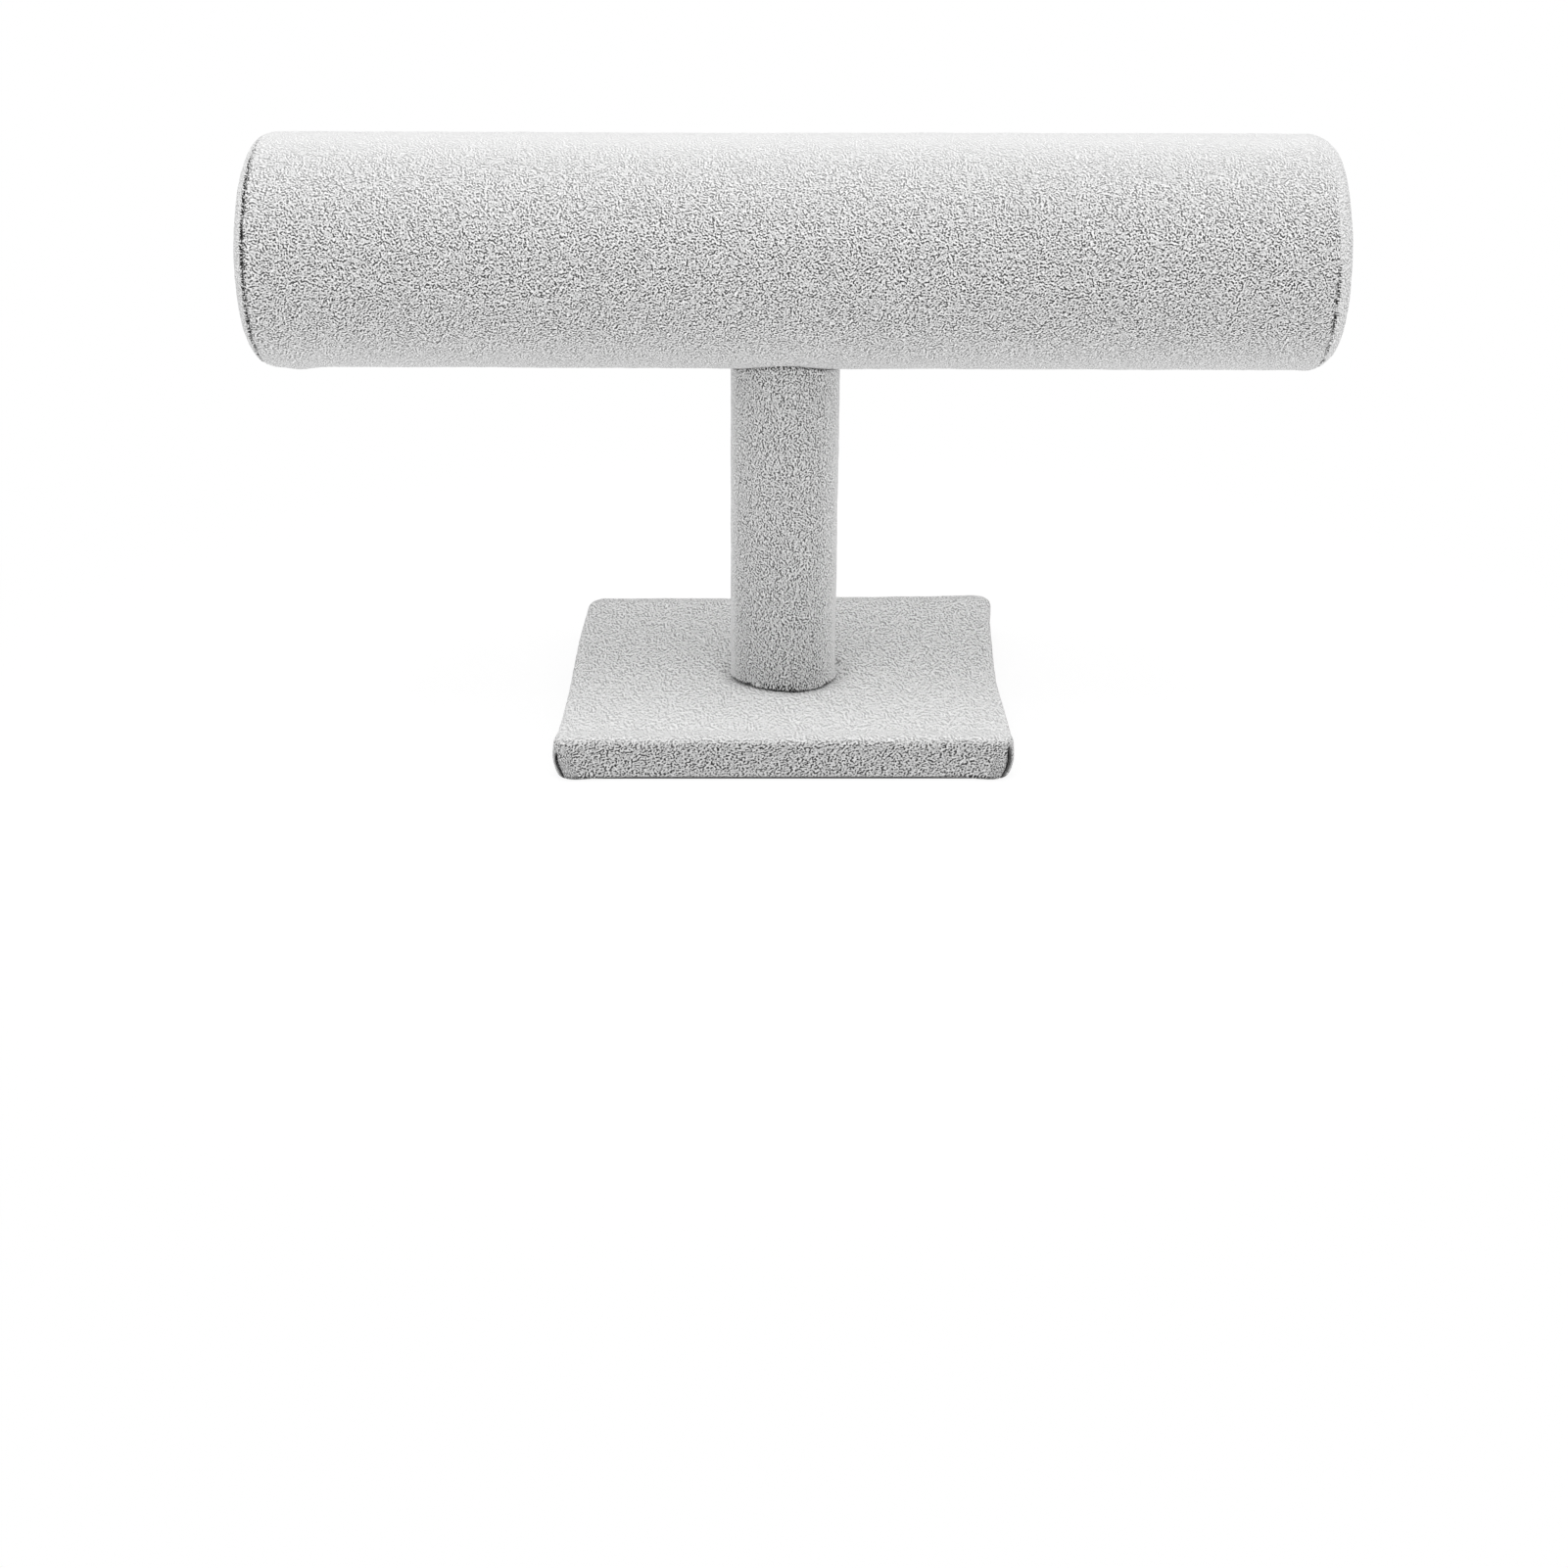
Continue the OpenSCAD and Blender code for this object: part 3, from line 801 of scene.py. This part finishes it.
def postCover():
    p = postCloth
    shell = newShell()
    length = postHigh.z - baseHigh.z
    grids = []
    for outer in (True, False):
        radius = postRadius - (0 if outer else p["thick"])
        columns = int(2 * math.pi * radius / p["step"]) if outer else 40
        share = np.linspace(0, 1, columns)
        gap = math.asin(p["slit"] / 2 / radius)
        # round from the back, past the left side and the front
        angle = math.pi / 2 + gap + share * (2 * math.pi - 2 * gap)
        outward = np.stack([np.cos(angle), np.sin(angle), np.zeros_like(angle)], -1)
        under = np.sqrt((barRadius + p["clear"]) ** 2 - (radius * np.sin(angle)) ** 2)
        top = barAxis.z - under - baseHigh.z
        if outer:
            # heights above the base, close together at the foot and head
            ring = outward * p["waveRadius"]
            foot = np.array(p["footRows"]) * mm
            head = np.array(p["headRows"]) * mm
            top = top - built["dip"] - p["headWave"] * np.abs(wander(ring, p["headWaveSize"]))
            rise = np.linspace(0, 1, int(length / p["step"]) - 4)[:, None]
            middle = p["bodyFrom"] + rise * (top - p["bodyFrom"] - p["bodyTo"])[None]
            foot = np.repeat(foot[:, None], columns, 1)
            height = np.concatenate([foot, middle, top[None] - head[:, None]])
        else:
            height = np.linspace(0, 1, 10)[:, None] * top[None]
        points = np.repeat((outward * radius + np.array([postAxis.x, postAxis.y, 0]))[None], len(height), 0)
        points[..., 2] = baseHigh.z + height
        nap = np.stack([np.broadcast_to(angle * postRadius, height.shape), height], -1)
        shade, ruffleAndShading = 0.3, 1.0
        if outer:
            fromTop = top[None] - height
            across = outward[:, 0]
            isFront = smooth(-outward[:, 1], -0.35, 0.0)
            line = np.interp(across, p["footPlaces"], p["footHeights"]) * mm
            line = p["lineBehind"] + (line - p["lineBehind"]) * isFront
            line = line * (1 + p["lineWave"] * wander(ring, p["lineWaveSize"]))
            grow = p["footGrow"] + (p["headGrow"] - p["footGrow"]) * height / length
            grow = grow - p["footInset"] * (1 - smooth(height, line - 0.1 * mm, line + 0.12 * mm))
            middleOnly = 1 - smooth(np.abs(across), 0.6, 0.9)
            grow = grow - p["headRound"] * middleOnly * (1 - smooth(fromTop, 0, 2 * p["headRound"]))
            flare = smooth(across, 0.72, 0.86) * isFront * (1 - smooth(height, 0.3 * mm, p["flareTo"]))
            grow = grow + p["flare"] * flare * (height > 0.2 * mm)
            edge = smooth(height, 0.2 * mm, 2 * mm) * smooth(fromTop, 0.2 * mm, 2 * mm)
            points = points + outward[None] * (grow + relief(points) * edge)[..., None]
            points[..., 0] += p["footX"] + (p["headX"] - p["footX"]) * height / length
            points[..., 2] -= footSink(across) * (1 - height / length)
            points = leanTee(points)
            # painted shade under the edge, and in fuzzy specks above it in the middle of the front
            specks = np.clip(0.35 + 2.2 * wander(points, p["speckSize"]), 0, p["mostSpecks"])
            fuzzy = smooth(across, -0.46, -0.34) * (1 - smooth(across, 0.34, 0.5)) * isFront
            fuzzy = fuzzy * (1 - smooth(height, 0.9 * mm, 1.9 * mm))
            shade = p["lineShade"] * (1 - smooth(height, line, line + 0.2 * mm))
            shade = shade + (p["fuzzShade"] * fuzzy + p["flareShade"] * flare) * specks
            # painted shade where the post meets the bar's cloth
            head = p["headShade"] * (1 - smooth(np.abs(across), 0.6, 0.9))
            shade = shade + head * (1 - smooth(fromTop, 0.1 * mm, 0.6 * mm))
            # the sides show fewer dark gaps, as painted rim light
            side = smooth(np.abs(across), 0.84, 1.0)
            side = np.maximum(side, 0.5 * smooth(across, 0.6, 1.0))
            ruffleAndShading = np.broadcast_to(p["ruffleAndShading"] + (p["sidePaintedLight"] - p["ruffleAndShading"]) * side, height.shape)
        # painted light on the sides, and painted shade that is darkest at the foot
        pale = p["rightPaintedLight"] * smooth(outward[:, 0], 0.55, 1.0)
        pale = pale + p["leftPaintedLight"] * smooth(-outward[:, 0], 0.7, 1.0)
        paintedShade = (p["footPaintedShade"] + (p["paintedShade"] - p["footPaintedShade"]) * height / length) * (1 - pale)
        numbers = addPoints(shell, points, nap, p["lean"], ruffleAndShading, shade, paintedShade)
        addGrid(shell, numbers, nap, "face" if outer else "back")
        grids.append((numbers, height.max(1) / length, share))
    closeSleeve(shell, *grids, 2 * math.pi * postRadius, length)
    piece = closeShell(shell, "post_cover_plush", plushMaterial, dict(face=1.0, back=0.3))
    finishPiece(piece, "post_cover")
    return piece


# The base's cloth: over the top and sides, turned in under the board, cut and folded at the corners

baseCloth = dict(
    thick=1.3 * mm, turned=0.5 * mm, cornerRound=4.6 * mm, topRound=2.2 * mm,
    # the lower edge is rounder at the corners
    lowerRound=1.1 * mm, cornerLowerRound=1.3 * mm, lowerFade=3.5 * mm,
    turnIn=13 * mm, windowRound=0.5 * mm, step=0.8 * mm, cornerColumns=12,
    # where each corner is cut, in degrees from the front's or back's direction
    slitAngles=dict(frontRight=39, frontLeft=41, backLeft=45, backRight=45),
    slitTops=dict(frontRight=8.0 * mm, frontLeft=6.6 * mm, backLeft=7.0 * mm, backRight=7.4 * mm),
    slitWidths=dict(frontRight=2.2 * mm, frontLeft=1.9 * mm, backLeft=0.6 * mm, backRight=0.8 * mm),
    slitPull=8,                     # columns of the mesh beside each cut that give way with it
    slitDark=3.0, slitLip=0.1, closedFrom=0.2 * mm, openUnder=0.35,
    # the pile on top is brushed long towards the back; from near to far, how open it stands and how dark,
    # both carrying painted shade
    topRuffleAndShading=(0.65, 0.81), topPaintedShade=(0.05, 0.01), topAlong=(-34 * mm, 6 * mm),
    topStretch=(0.85, 0.42), topLean=-0.35,
    # the front face evenly darker, as painted shade
    frontRuffleAndShading=0.97, frontPaintedShade=0.27,
    # the sides are drawn in between the corners
    leftIn=0.8 * mm, leftInAt=-23 * mm, leftInReach=27 * mm,
    rightIn=1.0 * mm, rightInAt=-5 * mm, rightInReach=20 * mm,
    sidesAcross=(38 * mm, 46 * mm), lowShare=0.3, highFrom=(1.5 * mm, 7 * mm),
    # the back edge is fuller, and its right end is higher
    backRightOut=0.6 * mm, backRightReach=12 * mm, backOut=0.8 * mm, backAlong=(28 * mm, 43 * mm),
    backRightRise=0.5 * mm, riseAcross=(-15 * mm, 48 * mm), riseAlong=(-5 * mm, 42 * mm),
    # the folded corners reach lower than the sides, with painted shade along their lower edge
    skirtDrop=0.08 * mm, cornerDrop=0.41 * mm, cornerReach=7 * mm, cornerShade=3.2,
    # the front corners draw in towards their lower ends: how far and how suddenly, and the bulge above
    leftTaper=1.35 * mm, leftTurn=1.1, rightTaper=1.3 * mm, rightTurn=1.8, lowForward=0.6 * mm,
    taperFrom=4.9 * mm, taperAcross=(39 * mm, 47.5 * mm), taperAlong=(34 * mm, 42 * mm),
    cornerBulge=0.25 * mm, bulgeReach=2.5 * mm,
    # three corners are pulled out: side, front or back, how far and over what reach
    pulled=((1, 1, 0.9 * mm, 6 * mm), (1, -1, 0.8 * mm, 3.2 * mm), (-1, -1, 0.8 * mm, 3.2 * mm)),
    pullInset=1.3 * mm,
    # rows of the mesh on the top, round its edge, down the side, round the lower edge and underneath
    outerRows=(3, 6, 12, 8, 7), innerRows=(1, 2, 3, 3, 2),
)


def baseProfile(outer, lowerRound):
    # from the rounded corner's centre out, down and in again
    # each row: inset from the side, height, outward normal, upward normal
    p = baseCloth
    high, low = baseHigh.z, baseLow.z
    inward = 0.0 if outer else p["thick"]
    steps = p["outerRows"] if outer else p["innerRows"]
    rows = []
    for inset in np.linspace(p["cornerRound"], p["topRound"], steps[0] + 1)[:-1]:
        rows.append((inset, high - inward, 0.0, 1.0))
    for a in np.linspace(math.pi / 2, 0, steps[1] + 1)[:-1]:
        out, up = math.cos(a), math.sin(a)
        r = p["topRound"] - inward
        rows.append((p["topRound"] - r * out, high - p["topRound"] + r * up, out, up))
    for z in np.linspace(high - p["topRound"], low + lowerRound, steps[2] + 1)[:-1]:
        rows.append((inward, z, 1.0, 0.0))
    rise = lowerRound - (0 if outer else p["turned"])
    reach = max(lowerRound - inward, 0.0)
    for a in np.linspace(0, -math.pi / 2, steps[3] + 1)[:-1]:
        inset = max(lowerRound, inward) - reach * math.cos(a)
        rows.append((inset, low + lowerRound + rise * math.sin(a), math.cos(a), math.sin(a)))
    for inset in np.linspace(max(lowerRound, inward), p["turnIn"], steps[4] + 1):
        rows.append((inset, low + lowerRound - rise, 0.0, -1.0))
    return np.array(rows)


def profileLengths(rows):
    return np.concatenate([[0], np.cumsum(np.hypot(*np.diff(rows[:, :2], axis=0).T))])


def fitBase(points):
    # draws the long sides in between the corners, most at the top
    p = baseCloth
    x, y, z = points[..., 0], points[..., 1], points[..., 2]
    high = p["lowShare"] + (1 - p["lowShare"]) * smooth(z, *p["highFrom"])
    left = p["leftIn"] * hump(y, p["leftInAt"], p["leftInReach"])
    right = -p["rightIn"] * hump(y, p["rightInAt"], p["rightInReach"])
    right = right + p["backRightOut"] * hump(y, baseHigh.y, p["backRightReach"])
    moved = points.copy()
    moved[..., 0] += high * (left * smooth(-x, *p["sidesAcross"]) + right * smooth(x, *p["sidesAcross"]))
    moved[..., 1] += high * p["backOut"] * smooth(y, *p["backAlong"])
    rise = smooth(x, *p["riseAcross"]) * smooth(y, *p["riseAlong"])
    moved[..., 2] += high * p["backRightRise"] * rise
    for sideX, sideY, amount, reach in p["pulled"]:
        cornerX, cornerY = sideX * (baseHigh.x - p["pullInset"]), sideY * (baseHigh.y - p["pullInset"])
        pull = amount * hump(np.hypot(x - cornerX, y - cornerY), 0, reach)
        moved[..., 0] += sideX * pull
        moved[..., 1] += sideY * pull
    return moved


def taperBase(points):
    # draws the lower ends of the front corners in sideways
    p = baseCloth
    x, y, z = points[..., 0], points[..., 1], points[..., 2]
    low = np.clip((p["taperFrom"] - z) / (p["taperFrom"] - p["turned"]), 0, 1)
    atFront = smooth(-y, *p["taperAlong"])
    swell = p["cornerBulge"] * hump(z, p["taperFrom"], p["bulgeReach"])
    moved = points.copy()
    near, far = p["taperAcross"]
    moved[..., 0] += atFront * smooth(-x, near, far) * (p["leftTaper"] * low ** p["leftTurn"] - swell)
    moved[..., 0] -= atFront * smooth(x, near, far) * (p["rightTaper"] * low ** p["rightTurn"] - swell)
    moved[..., 1] -= atFront * smooth(np.abs(x), near, far) * p["lowForward"] * low
    return moved


def topPile(points, name):
    # a value that changes from the front of the top to its back, with painted shade in it
    near, far = baseCloth[name]
    return near + (far - near) * smooth(points[..., 1], *baseCloth["topAlong"])


def baseCover():
    p = baseCloth
    shell = newShell()
    halfW, halfD = (baseHigh.x - baseLow.x) / 2, (baseHigh.y - baseLow.y) / 2
    middle = np.array([(baseHigh.x + baseLow.x) / 2, (baseHigh.y + baseLow.y) / 2])
    spanW, spanD = halfW - p["cornerRound"], halfD - p["cornerRound"]
    windowW, windowD = halfW - p["turnIn"], halfD - p["turnIn"]
    countW, countD = int(2 * spanW / p["step"]), int(2 * spanD / p["step"])

    # columns round the outline, anticlockwise from the front's left end: start, direction out, whether cut
    columns = []
    corners = [(spanW, -spanD), (spanW, spanD), (-spanW, spanD), (-spanW, -spanD)]
    cutNames = ["frontRight", "backRight", "backLeft", "frontLeft"]
    counts = [countW, countD, countW, countD]
    for side in range(4):
        start, end = np.array(corners[side - 1]), np.array(corners[side])
        outward = np.array([(0, -1), (1, 0), (0, 1), (-1, 0)][side], float)
        for t in np.linspace(0, 1, counts[side] + 1)[:-1]:
            columns.append(dict(start=start + t * (end - start), out=outward, cut=None))
        first = math.atan2(outward[1], outward[0])
        cutTurn = math.radians(p["slitAngles"][cutNames[side]])
        cutTurn = cutTurn if side % 2 == 0 else math.pi / 2 - cutTurn
        turns = np.linspace(0, math.pi / 2, p["cornerColumns"] + 1)[:-1]
        nearest = int(np.argmin(abs(turns - cutTurn)))
        for k, turn in enumerate(turns):
            turn = cutTurn if k == nearest else turn
            out = np.array([math.cos(first + turn), math.sin(first + turn)])
            columns.append(dict(start=end, out=out, cut=cutNames[side] if k == nearest else None))
    # each cut column becomes two, one for each side of the cut
    order = []
    for k, column in enumerate(columns):
        order += [(k, -1), (k, 1)] if column["cut"] else [(k, 0)]
    starts = np.array([columns[k]["start"] for k, _ in order])
    outs = np.array([columns[k]["out"] for k, _ in order])
    sign = np.array([s for _, s in order])
    total = len(order)
    along = np.stack([-outs[:, 1], outs[:, 0]], -1)
    cuts = list(np.where(sign == -1)[0])
    runs = []
    for cut, following in zip(cuts, cuts[1:] + cuts[:1]):
        runs.append(np.arange(cut + 1, following + 1 + (total if following <= cut else 0)) % total)
    # how far each column gives way beside its cut, and where that cut ends
    widths, tops = np.zeros(total), np.full(total, baseHigh.z)
    for cut in cuts:
        name = columns[order[cut][0]]["cut"]
        for k in range(p["slitPull"]):
            for j, way in (((cut - k) % total, -1), ((cut + 1 + k) % total, 1)):
                widths[j] = way * p["slitWidths"][name] / 2 * (1 - k / p["slitPull"])
                tops[j] = p["slitTops"][name]
    # where each column ends, round the window that the cloth leaves open underneath
    window = np.array([windowW, windowD]) - p["windowRound"]
    windowAt = np.clip(starts / np.array([spanW, spanD]), -1, 1) * window + outs * p["windowRound"]
    fromCorner = np.hypot(spanW - np.abs(starts[:, 0]), spanD - np.abs(starts[:, 1]))
    roundness = 1 - smooth(fromCorner, 0, p["lowerFade"])

    def layout(outer, lowerRound):
        # plan, height, outward and upward normal and flat place of each row of each column
        rows = baseProfile(outer, lowerRound)
        inset, z, sideways, up = (rows[:, k][:, None] * np.ones(total)[None] for k in range(4))
        beside = starts[None] + outs[None] * (p["cornerRound"] - inset)[..., None]
        first = max(lowerRound, 0.0 if outer else p["thick"])
        edge = starts + outs * (p["cornerRound"] - first)
        t = np.clip((inset - first) / (p["turnIn"] - first), 0, 1)[..., None]
        isTurned = (rows[:, 3] < -0.999)[:, None, None]
        plan = np.where(isTurned, edge[None] + t * (windowAt - edge)[None], beside)
        flatPlan = starts[None] + outs[None] * profileLengths(rows)[:, None, None]
        return np.concatenate([plan, np.stack([z, sideways, up], -1), flatPlan], -1), rows

    layers = []
    for outer in (True, False):
        tight, rows = layout(outer, p["lowerRound"])
        wide, _ = layout(outer, p["cornerLowerRound"])
        values = tight + (wide - tight) * roundness[None, :, None]
        plan, z, flatPlan = values[..., :2], values[..., 2], values[..., 5:]
        normal = np.concatenate([outs[None] * values[..., 3:4], values[..., 4:5]], -1)
        # the cut opens below its top, widest halfway down the side
        down = np.clip((tops[None] - z) / (tops[None] - baseLow.z), 0, 1)
        isUnder = rows[:, 3] < -0.999
        opening = np.where(isUnder[:, None], p["openUnder"], np.sqrt(down) * (1.25 - 0.9 * down))
        opening = opening * widths[None]
        plan = plan + along[None] * opening[..., None]
        flatPlan = flatPlan + along[None] * opening[..., None] * 0.9
        points = taperBase(np.concatenate([plan + middle, z[..., None]], -1))
        if outer:
            edge = (rows[:, 3] > -0.5)[:, None] * np.ones(total)[None]
            points = fitBase(points + normal * (relief(points) * edge)[..., None])
        isCut = (sign != 0)[None] & (z < tops[None] - p["closedFrom"])
        # painted shade in the open cuts; elsewhere the hidden inner layer is a little darker
        shade = np.where(isCut, 0.3 if outer else p["slitDark"], 0.0 if outer else 0.3)
        stretch = np.array(p["topStretch"])
        nap = flatPlan - starts[None] * (1 - stretch)
        ruffleAndShading, lean, paintedShade = ruffleAndShadingFor(normal[..., 2]), np.full(z.shape, math.pi / 4), 0.0
        if outer:
            toTop = smooth(normal[..., 2], 0.2, 0.95)
            ruffleAndShading = p["frontRuffleAndShading"] + (topPile(points, "topRuffleAndShading") - p["frontRuffleAndShading"]) * toTop
            lean = lean + (p["topLean"] - lean) * toTop
            paintedShade = p["frontPaintedShade"] + (topPile(points, "topPaintedShade") - p["frontPaintedShade"]) * toTop
            atBottom = 1 - smooth(z, 0.5 * mm, 2.2 * mm)
            atCorner = hump(fromCorner, 0, p["cornerReach"])[None] * atBottom
            outside = smooth(values[..., 3], 0.0, 0.4) * atBottom
            points[..., 2] -= (p["skirtDrop"] + p["cornerDrop"] * atCorner) * outside
            # painted shade along the lower edge of the corners
            shade = shade + p["cornerShade"] * atCorner * (1 - smooth(z, 0.9 * mm, 1.3 * mm))
        numbers = addPoints(shell, points, nap, lean, ruffleAndShading, shade, paintedShade)
        # above its top a cut is closed: both sides share one vertex
        firstOpen = {}
        for cut in cuts:
            firstOpen[cut] = int(np.argmax(z[:, cut] < tops[cut] - p["closedFrom"]))
            numbers[:firstOpen[cut], cut + 1] = numbers[:firstOpen[cut], cut]
        # the first row lies on the flat rectangle's edge, all of a corner's columns on one vertex
        spots = {}
        for j, start in enumerate(starts):
            numbers[0, j] = spots.setdefault((round(start[0], 7), round(start[1], 7)), numbers[0, j])
        # the flat top inside that rectangle
        gridX = np.linspace(-spanW, spanW, countW + 1)
        gridY = np.linspace(-spanD, spanD, countD + 1)
        flatTop = np.stack(np.meshgrid(gridX, gridY, indexing="ij"), -1)
        level = np.full(flatTop.shape[:2] + (1,), rows[0, 1])
        topPoints = np.concatenate([flatTop + middle, level], -1)
        if outer:
            foot = np.hypot(topPoints[..., 0] - postAxis.x, topPoints[..., 1] - postAxis.y)
            away = foot - postRadius
            topPoints[..., 2] += relief(topPoints) * smooth(away, 0.5 * mm, 3 * mm)
            pressed = 1 - smooth(away, 0.6 * mm, 3.5 * mm)
            across = (topPoints[..., 0] - postAxis.x) / np.maximum(foot, mm)
            topPoints[..., 2] -= (footSink(across) + 0.05 * mm) * pressed
            topPoints = fitBase(topPoints)
        ruffleAndShading, paintedShade = topPile(topPoints, "topRuffleAndShading"), topPile(topPoints, "topPaintedShade")
        shade = 0.0 if outer else 0.3
        topNumbers = addPoints(shell, topPoints, flatTop * stretch, p["topLean"], ruffleAndShading, shade, paintedShade)
        rim = [(i, j) for i in range(countW + 1) for j in (0, countD)]
        rim += [(i, j) for i in (0, countW) for j in range(1, countD)]
        for i, j in rim:
            topNumbers[i, j] = spots[(round(flatTop[i, j, 0], 7), round(flatTop[i, j, 1], 7))]
        chart = "face" if outer else "back"
        addGrid(shell, topNumbers, flatTop, chart)
        # the skirt, in runs between the cuts
        for run in runs:
            addGrid(shell, numbers[:, run], flatPlan[:, run], chart)
        layers.append((numbers, points, profileLengths(rows), firstOpen))
    (top, topPoints, topKeys, topOpen), (under, underPoints, underKeys, underOpen) = layers
    for cut in cuts:
        for j in (cut, cut + 1):
            # each side of a cut: a thin pale edge, then painted shade to the board
            a, b = topOpen[cut] - 1, underOpen[cut] - 1
            outerKeys = (topKeys[a:] - topKeys[a]) / (topKeys[-1] - topKeys[a])
            innerKeys = (underKeys[b:] - underKeys[b]) / (underKeys[-1] - underKeys[b])
            first, last = topPoints[a:, j], underPoints[b:, j]
            opposite = np.stack([np.interp(outerKeys, innerKeys, last[:, k]) for k in range(3)], -1)
            between = first + (opposite - first) * p["slitLip"]
            line = addPoints(shell, between, np.zeros((len(between), 2)), shade=p["slitDark"])
            line[0], line[-1] = under[b, j], under[-1, j]
            addStrip(shell, top[a:, j], line, outerKeys * 0.02, outerKeys * 0.02, f"lip{j}")
            addStrip(shell, line, under[b:, j], outerKeys * 0.02, innerKeys * 0.02, f"cut{j}")
    for n, run in enumerate(runs):
        keys = np.linspace(0, 0.09, len(run))
        addStrip(shell, top[-1, run], under[-1, run], keys, keys, f"hem{n}")
    piece = closeShell(shell, "base_cover_plush", plushMaterial, dict(face=1.0, back=0.3))
    finishPiece(piece, "base_cover")
    return piece


barCover()
for side in (-1, 1):
    endCover(side)
postCover()
baseCover()
print("plush pieces made")


# Floor, light and camera

studio = dict(
    floorReach=3.0, floorAt=-0.05 * mm, floorWhite=0.90,
    glow=0.205, glowNear=0.08, glowFar=0.30,            # the floor glows round the stand, a painted bounce light for the stand's underside
    floorNear=0.85, nearReach=0.09, farReach=0.24,      # share of plain white that the camera sees round it
    sky=0.63, skySides=0.55, skyRight=0.06,             # the room's light, and how much more from the sides
    keyPlace=(0.0, -0.32, 1.1), keySize=1.0, keyPower=6.4,
)


def onlyCamera(tree):
    # 1 for what the camera sees straight, in gloss or through glass
    rays = place(tree, "LightPath").outputs
    seen = calc(tree, "MAXIMUM", rays["Is Camera Ray"], rays["Is Glossy Ray"])
    return calc(tree, "MAXIMUM", seen, rays["Is Transmission Ray"])


def fadeOut(tree, distance, near, far, first, last):
    inputs = {"Value": distance, "From Min": near, "From Max": far, "To Min": first, "To Max": last}
    return place(tree, "MapRange", inputs, interpolation_type="SMOOTHSTEP").outputs[0]


def makeFloor():
    s = studio
    reach = s["floorReach"]
    mesh = bpy.data.meshes.new("floor")
    low = s["floorAt"]
    corners = [(x * reach, y * reach, low) for x, y in ((-1, -1), (1, -1), (1, 1), (-1, 1))]
    mesh.from_pydata(corners, [], [(0, 1, 2, 3)])
    floor = bpy.data.objects.new("floor", mesh)
    bpy.context.scene.collection.objects.link(floor)
    material, tree, shader = newMaterial("paleFloor")
    tree.nodes.remove(shader)
    matt = place(tree, "BsdfDiffuse", {"Color": grey(s["floorWhite"])}).outputs[0]
    plain = place(tree, "Emission", {"Color": grey(1.0), "Strength": 1.0}).outputs[0]
    spot = place(tree, "TexCoord").outputs["Object"]
    away = place(tree, "VectorMath", {0: spot}, operation="LENGTH").outputs["Value"]
    glow = fadeOut(tree, away, s["glowNear"], s["glowFar"], s["glow"], 0.0)
    lit = place(tree, "Emission", {"Color": grey(1.0), "Strength": glow}).outputs[0]
    matt = place(tree, "AddShader", {0: matt, 1: lit}).outputs[0]
    white = fadeOut(tree, away, s["nearReach"], s["farReach"], s["floorNear"], 1.0)
    share = calc(tree, "MULTIPLY", onlyCamera(tree), white)
    mixed = place(tree, "MixShader", {0: share, 1: matt, 2: plain}).outputs[0]
    tree.links.new(mixed, tree.nodes["Material Output"].inputs["Surface"])
    mesh.materials.append(material)


def makeWorld():
    world = bpy.data.worlds.new("paleRoom")
    bpy.context.scene.world = world
    world.use_nodes = True
    tree = world.node_tree
    background = tree.nodes["Background"]
    background.inputs["Color"].default_value = grey(1.0)
    direction = place(tree, "TexCoord").outputs["Generated"]
    sideways = place(tree, "SeparateXYZ", {0: direction}).outputs["X"]
    square = calc(tree, "MULTIPLY", sideways, sideways)
    room = calc(tree, "MULTIPLY_ADD", square, studio["skySides"], studio["sky"])
    room = calc(tree, "MULTIPLY_ADD", sideways, studio["skyRight"], room)
    seen = onlyCamera(tree)
    strength = calc(tree, "ADD", seen, calc(tree, "MULTIPLY", room, calc(tree, "SUBTRACT", 1.0, seen)))
    tree.links.new(strength, background.inputs["Strength"])


def makeLamp():
    s = studio
    light = bpy.data.lights.new("softBox", "AREA")
    light.shape = "SQUARE"
    light.size = s["keySize"]
    light.energy = s["keyPower"]
    lamp = bpy.data.objects.new("softBox", light)
    lamp.location = s["keyPlace"]
    lamp.rotation_mode = "QUATERNION"
    lamp.rotation_quaternion = Vector(s["keyPlace"]).to_track_quat("Z", "Y")
    bpy.context.scene.collection.objects.link(lamp)


view = dict(
    frame=1601, focal=2452.37, centre=(800.93, 389.68),     # the frame's width and the lens, in pixels
    target=(0.5 * mm, -5.5 * mm, 80 * mm), distance=544.65 * mm,
    azimuth=0.88, elevation=14.95, roll=-0.4,
    sensor=36.0, clip=(0.01, 20),
)


def makeCamera():
    v = view
    data = bpy.data.cameras.new("camera")
    data.sensor_width = v["sensor"]
    data.lens = v["sensor"] * v["focal"] / v["frame"]
    data.shift_x = (v["frame"] / 2 - v["centre"][0]) / v["frame"]
    data.shift_y = (v["centre"][1] - v["frame"] / 2) / v["frame"]
    data.clip_start, data.clip_end = v["clip"]
    camera = bpy.data.objects.new("camera", data)
    azimuth, elevation = math.radians(v["azimuth"]), math.radians(v["elevation"])
    back = Vector((math.sin(azimuth) * math.cos(elevation), -math.cos(azimuth) * math.cos(elevation),
                   math.sin(elevation)))
    camera.location = Vector(v["target"]) + back * v["distance"]
    camera.rotation_mode = "QUATERNION"
    roll = Quaternion((0, 0, 1), math.radians(v["roll"]))
    camera.rotation_quaternion = back.to_track_quat("Z", "Y") @ roll
    bpy.context.scene.collection.objects.link(camera)
    bpy.context.scene.camera = camera


makeFloor()
makeWorld()
makeLamp()
makeCamera()
bpy.context.scene.view_settings.view_transform = "Standard"
print("floor, light and camera made")
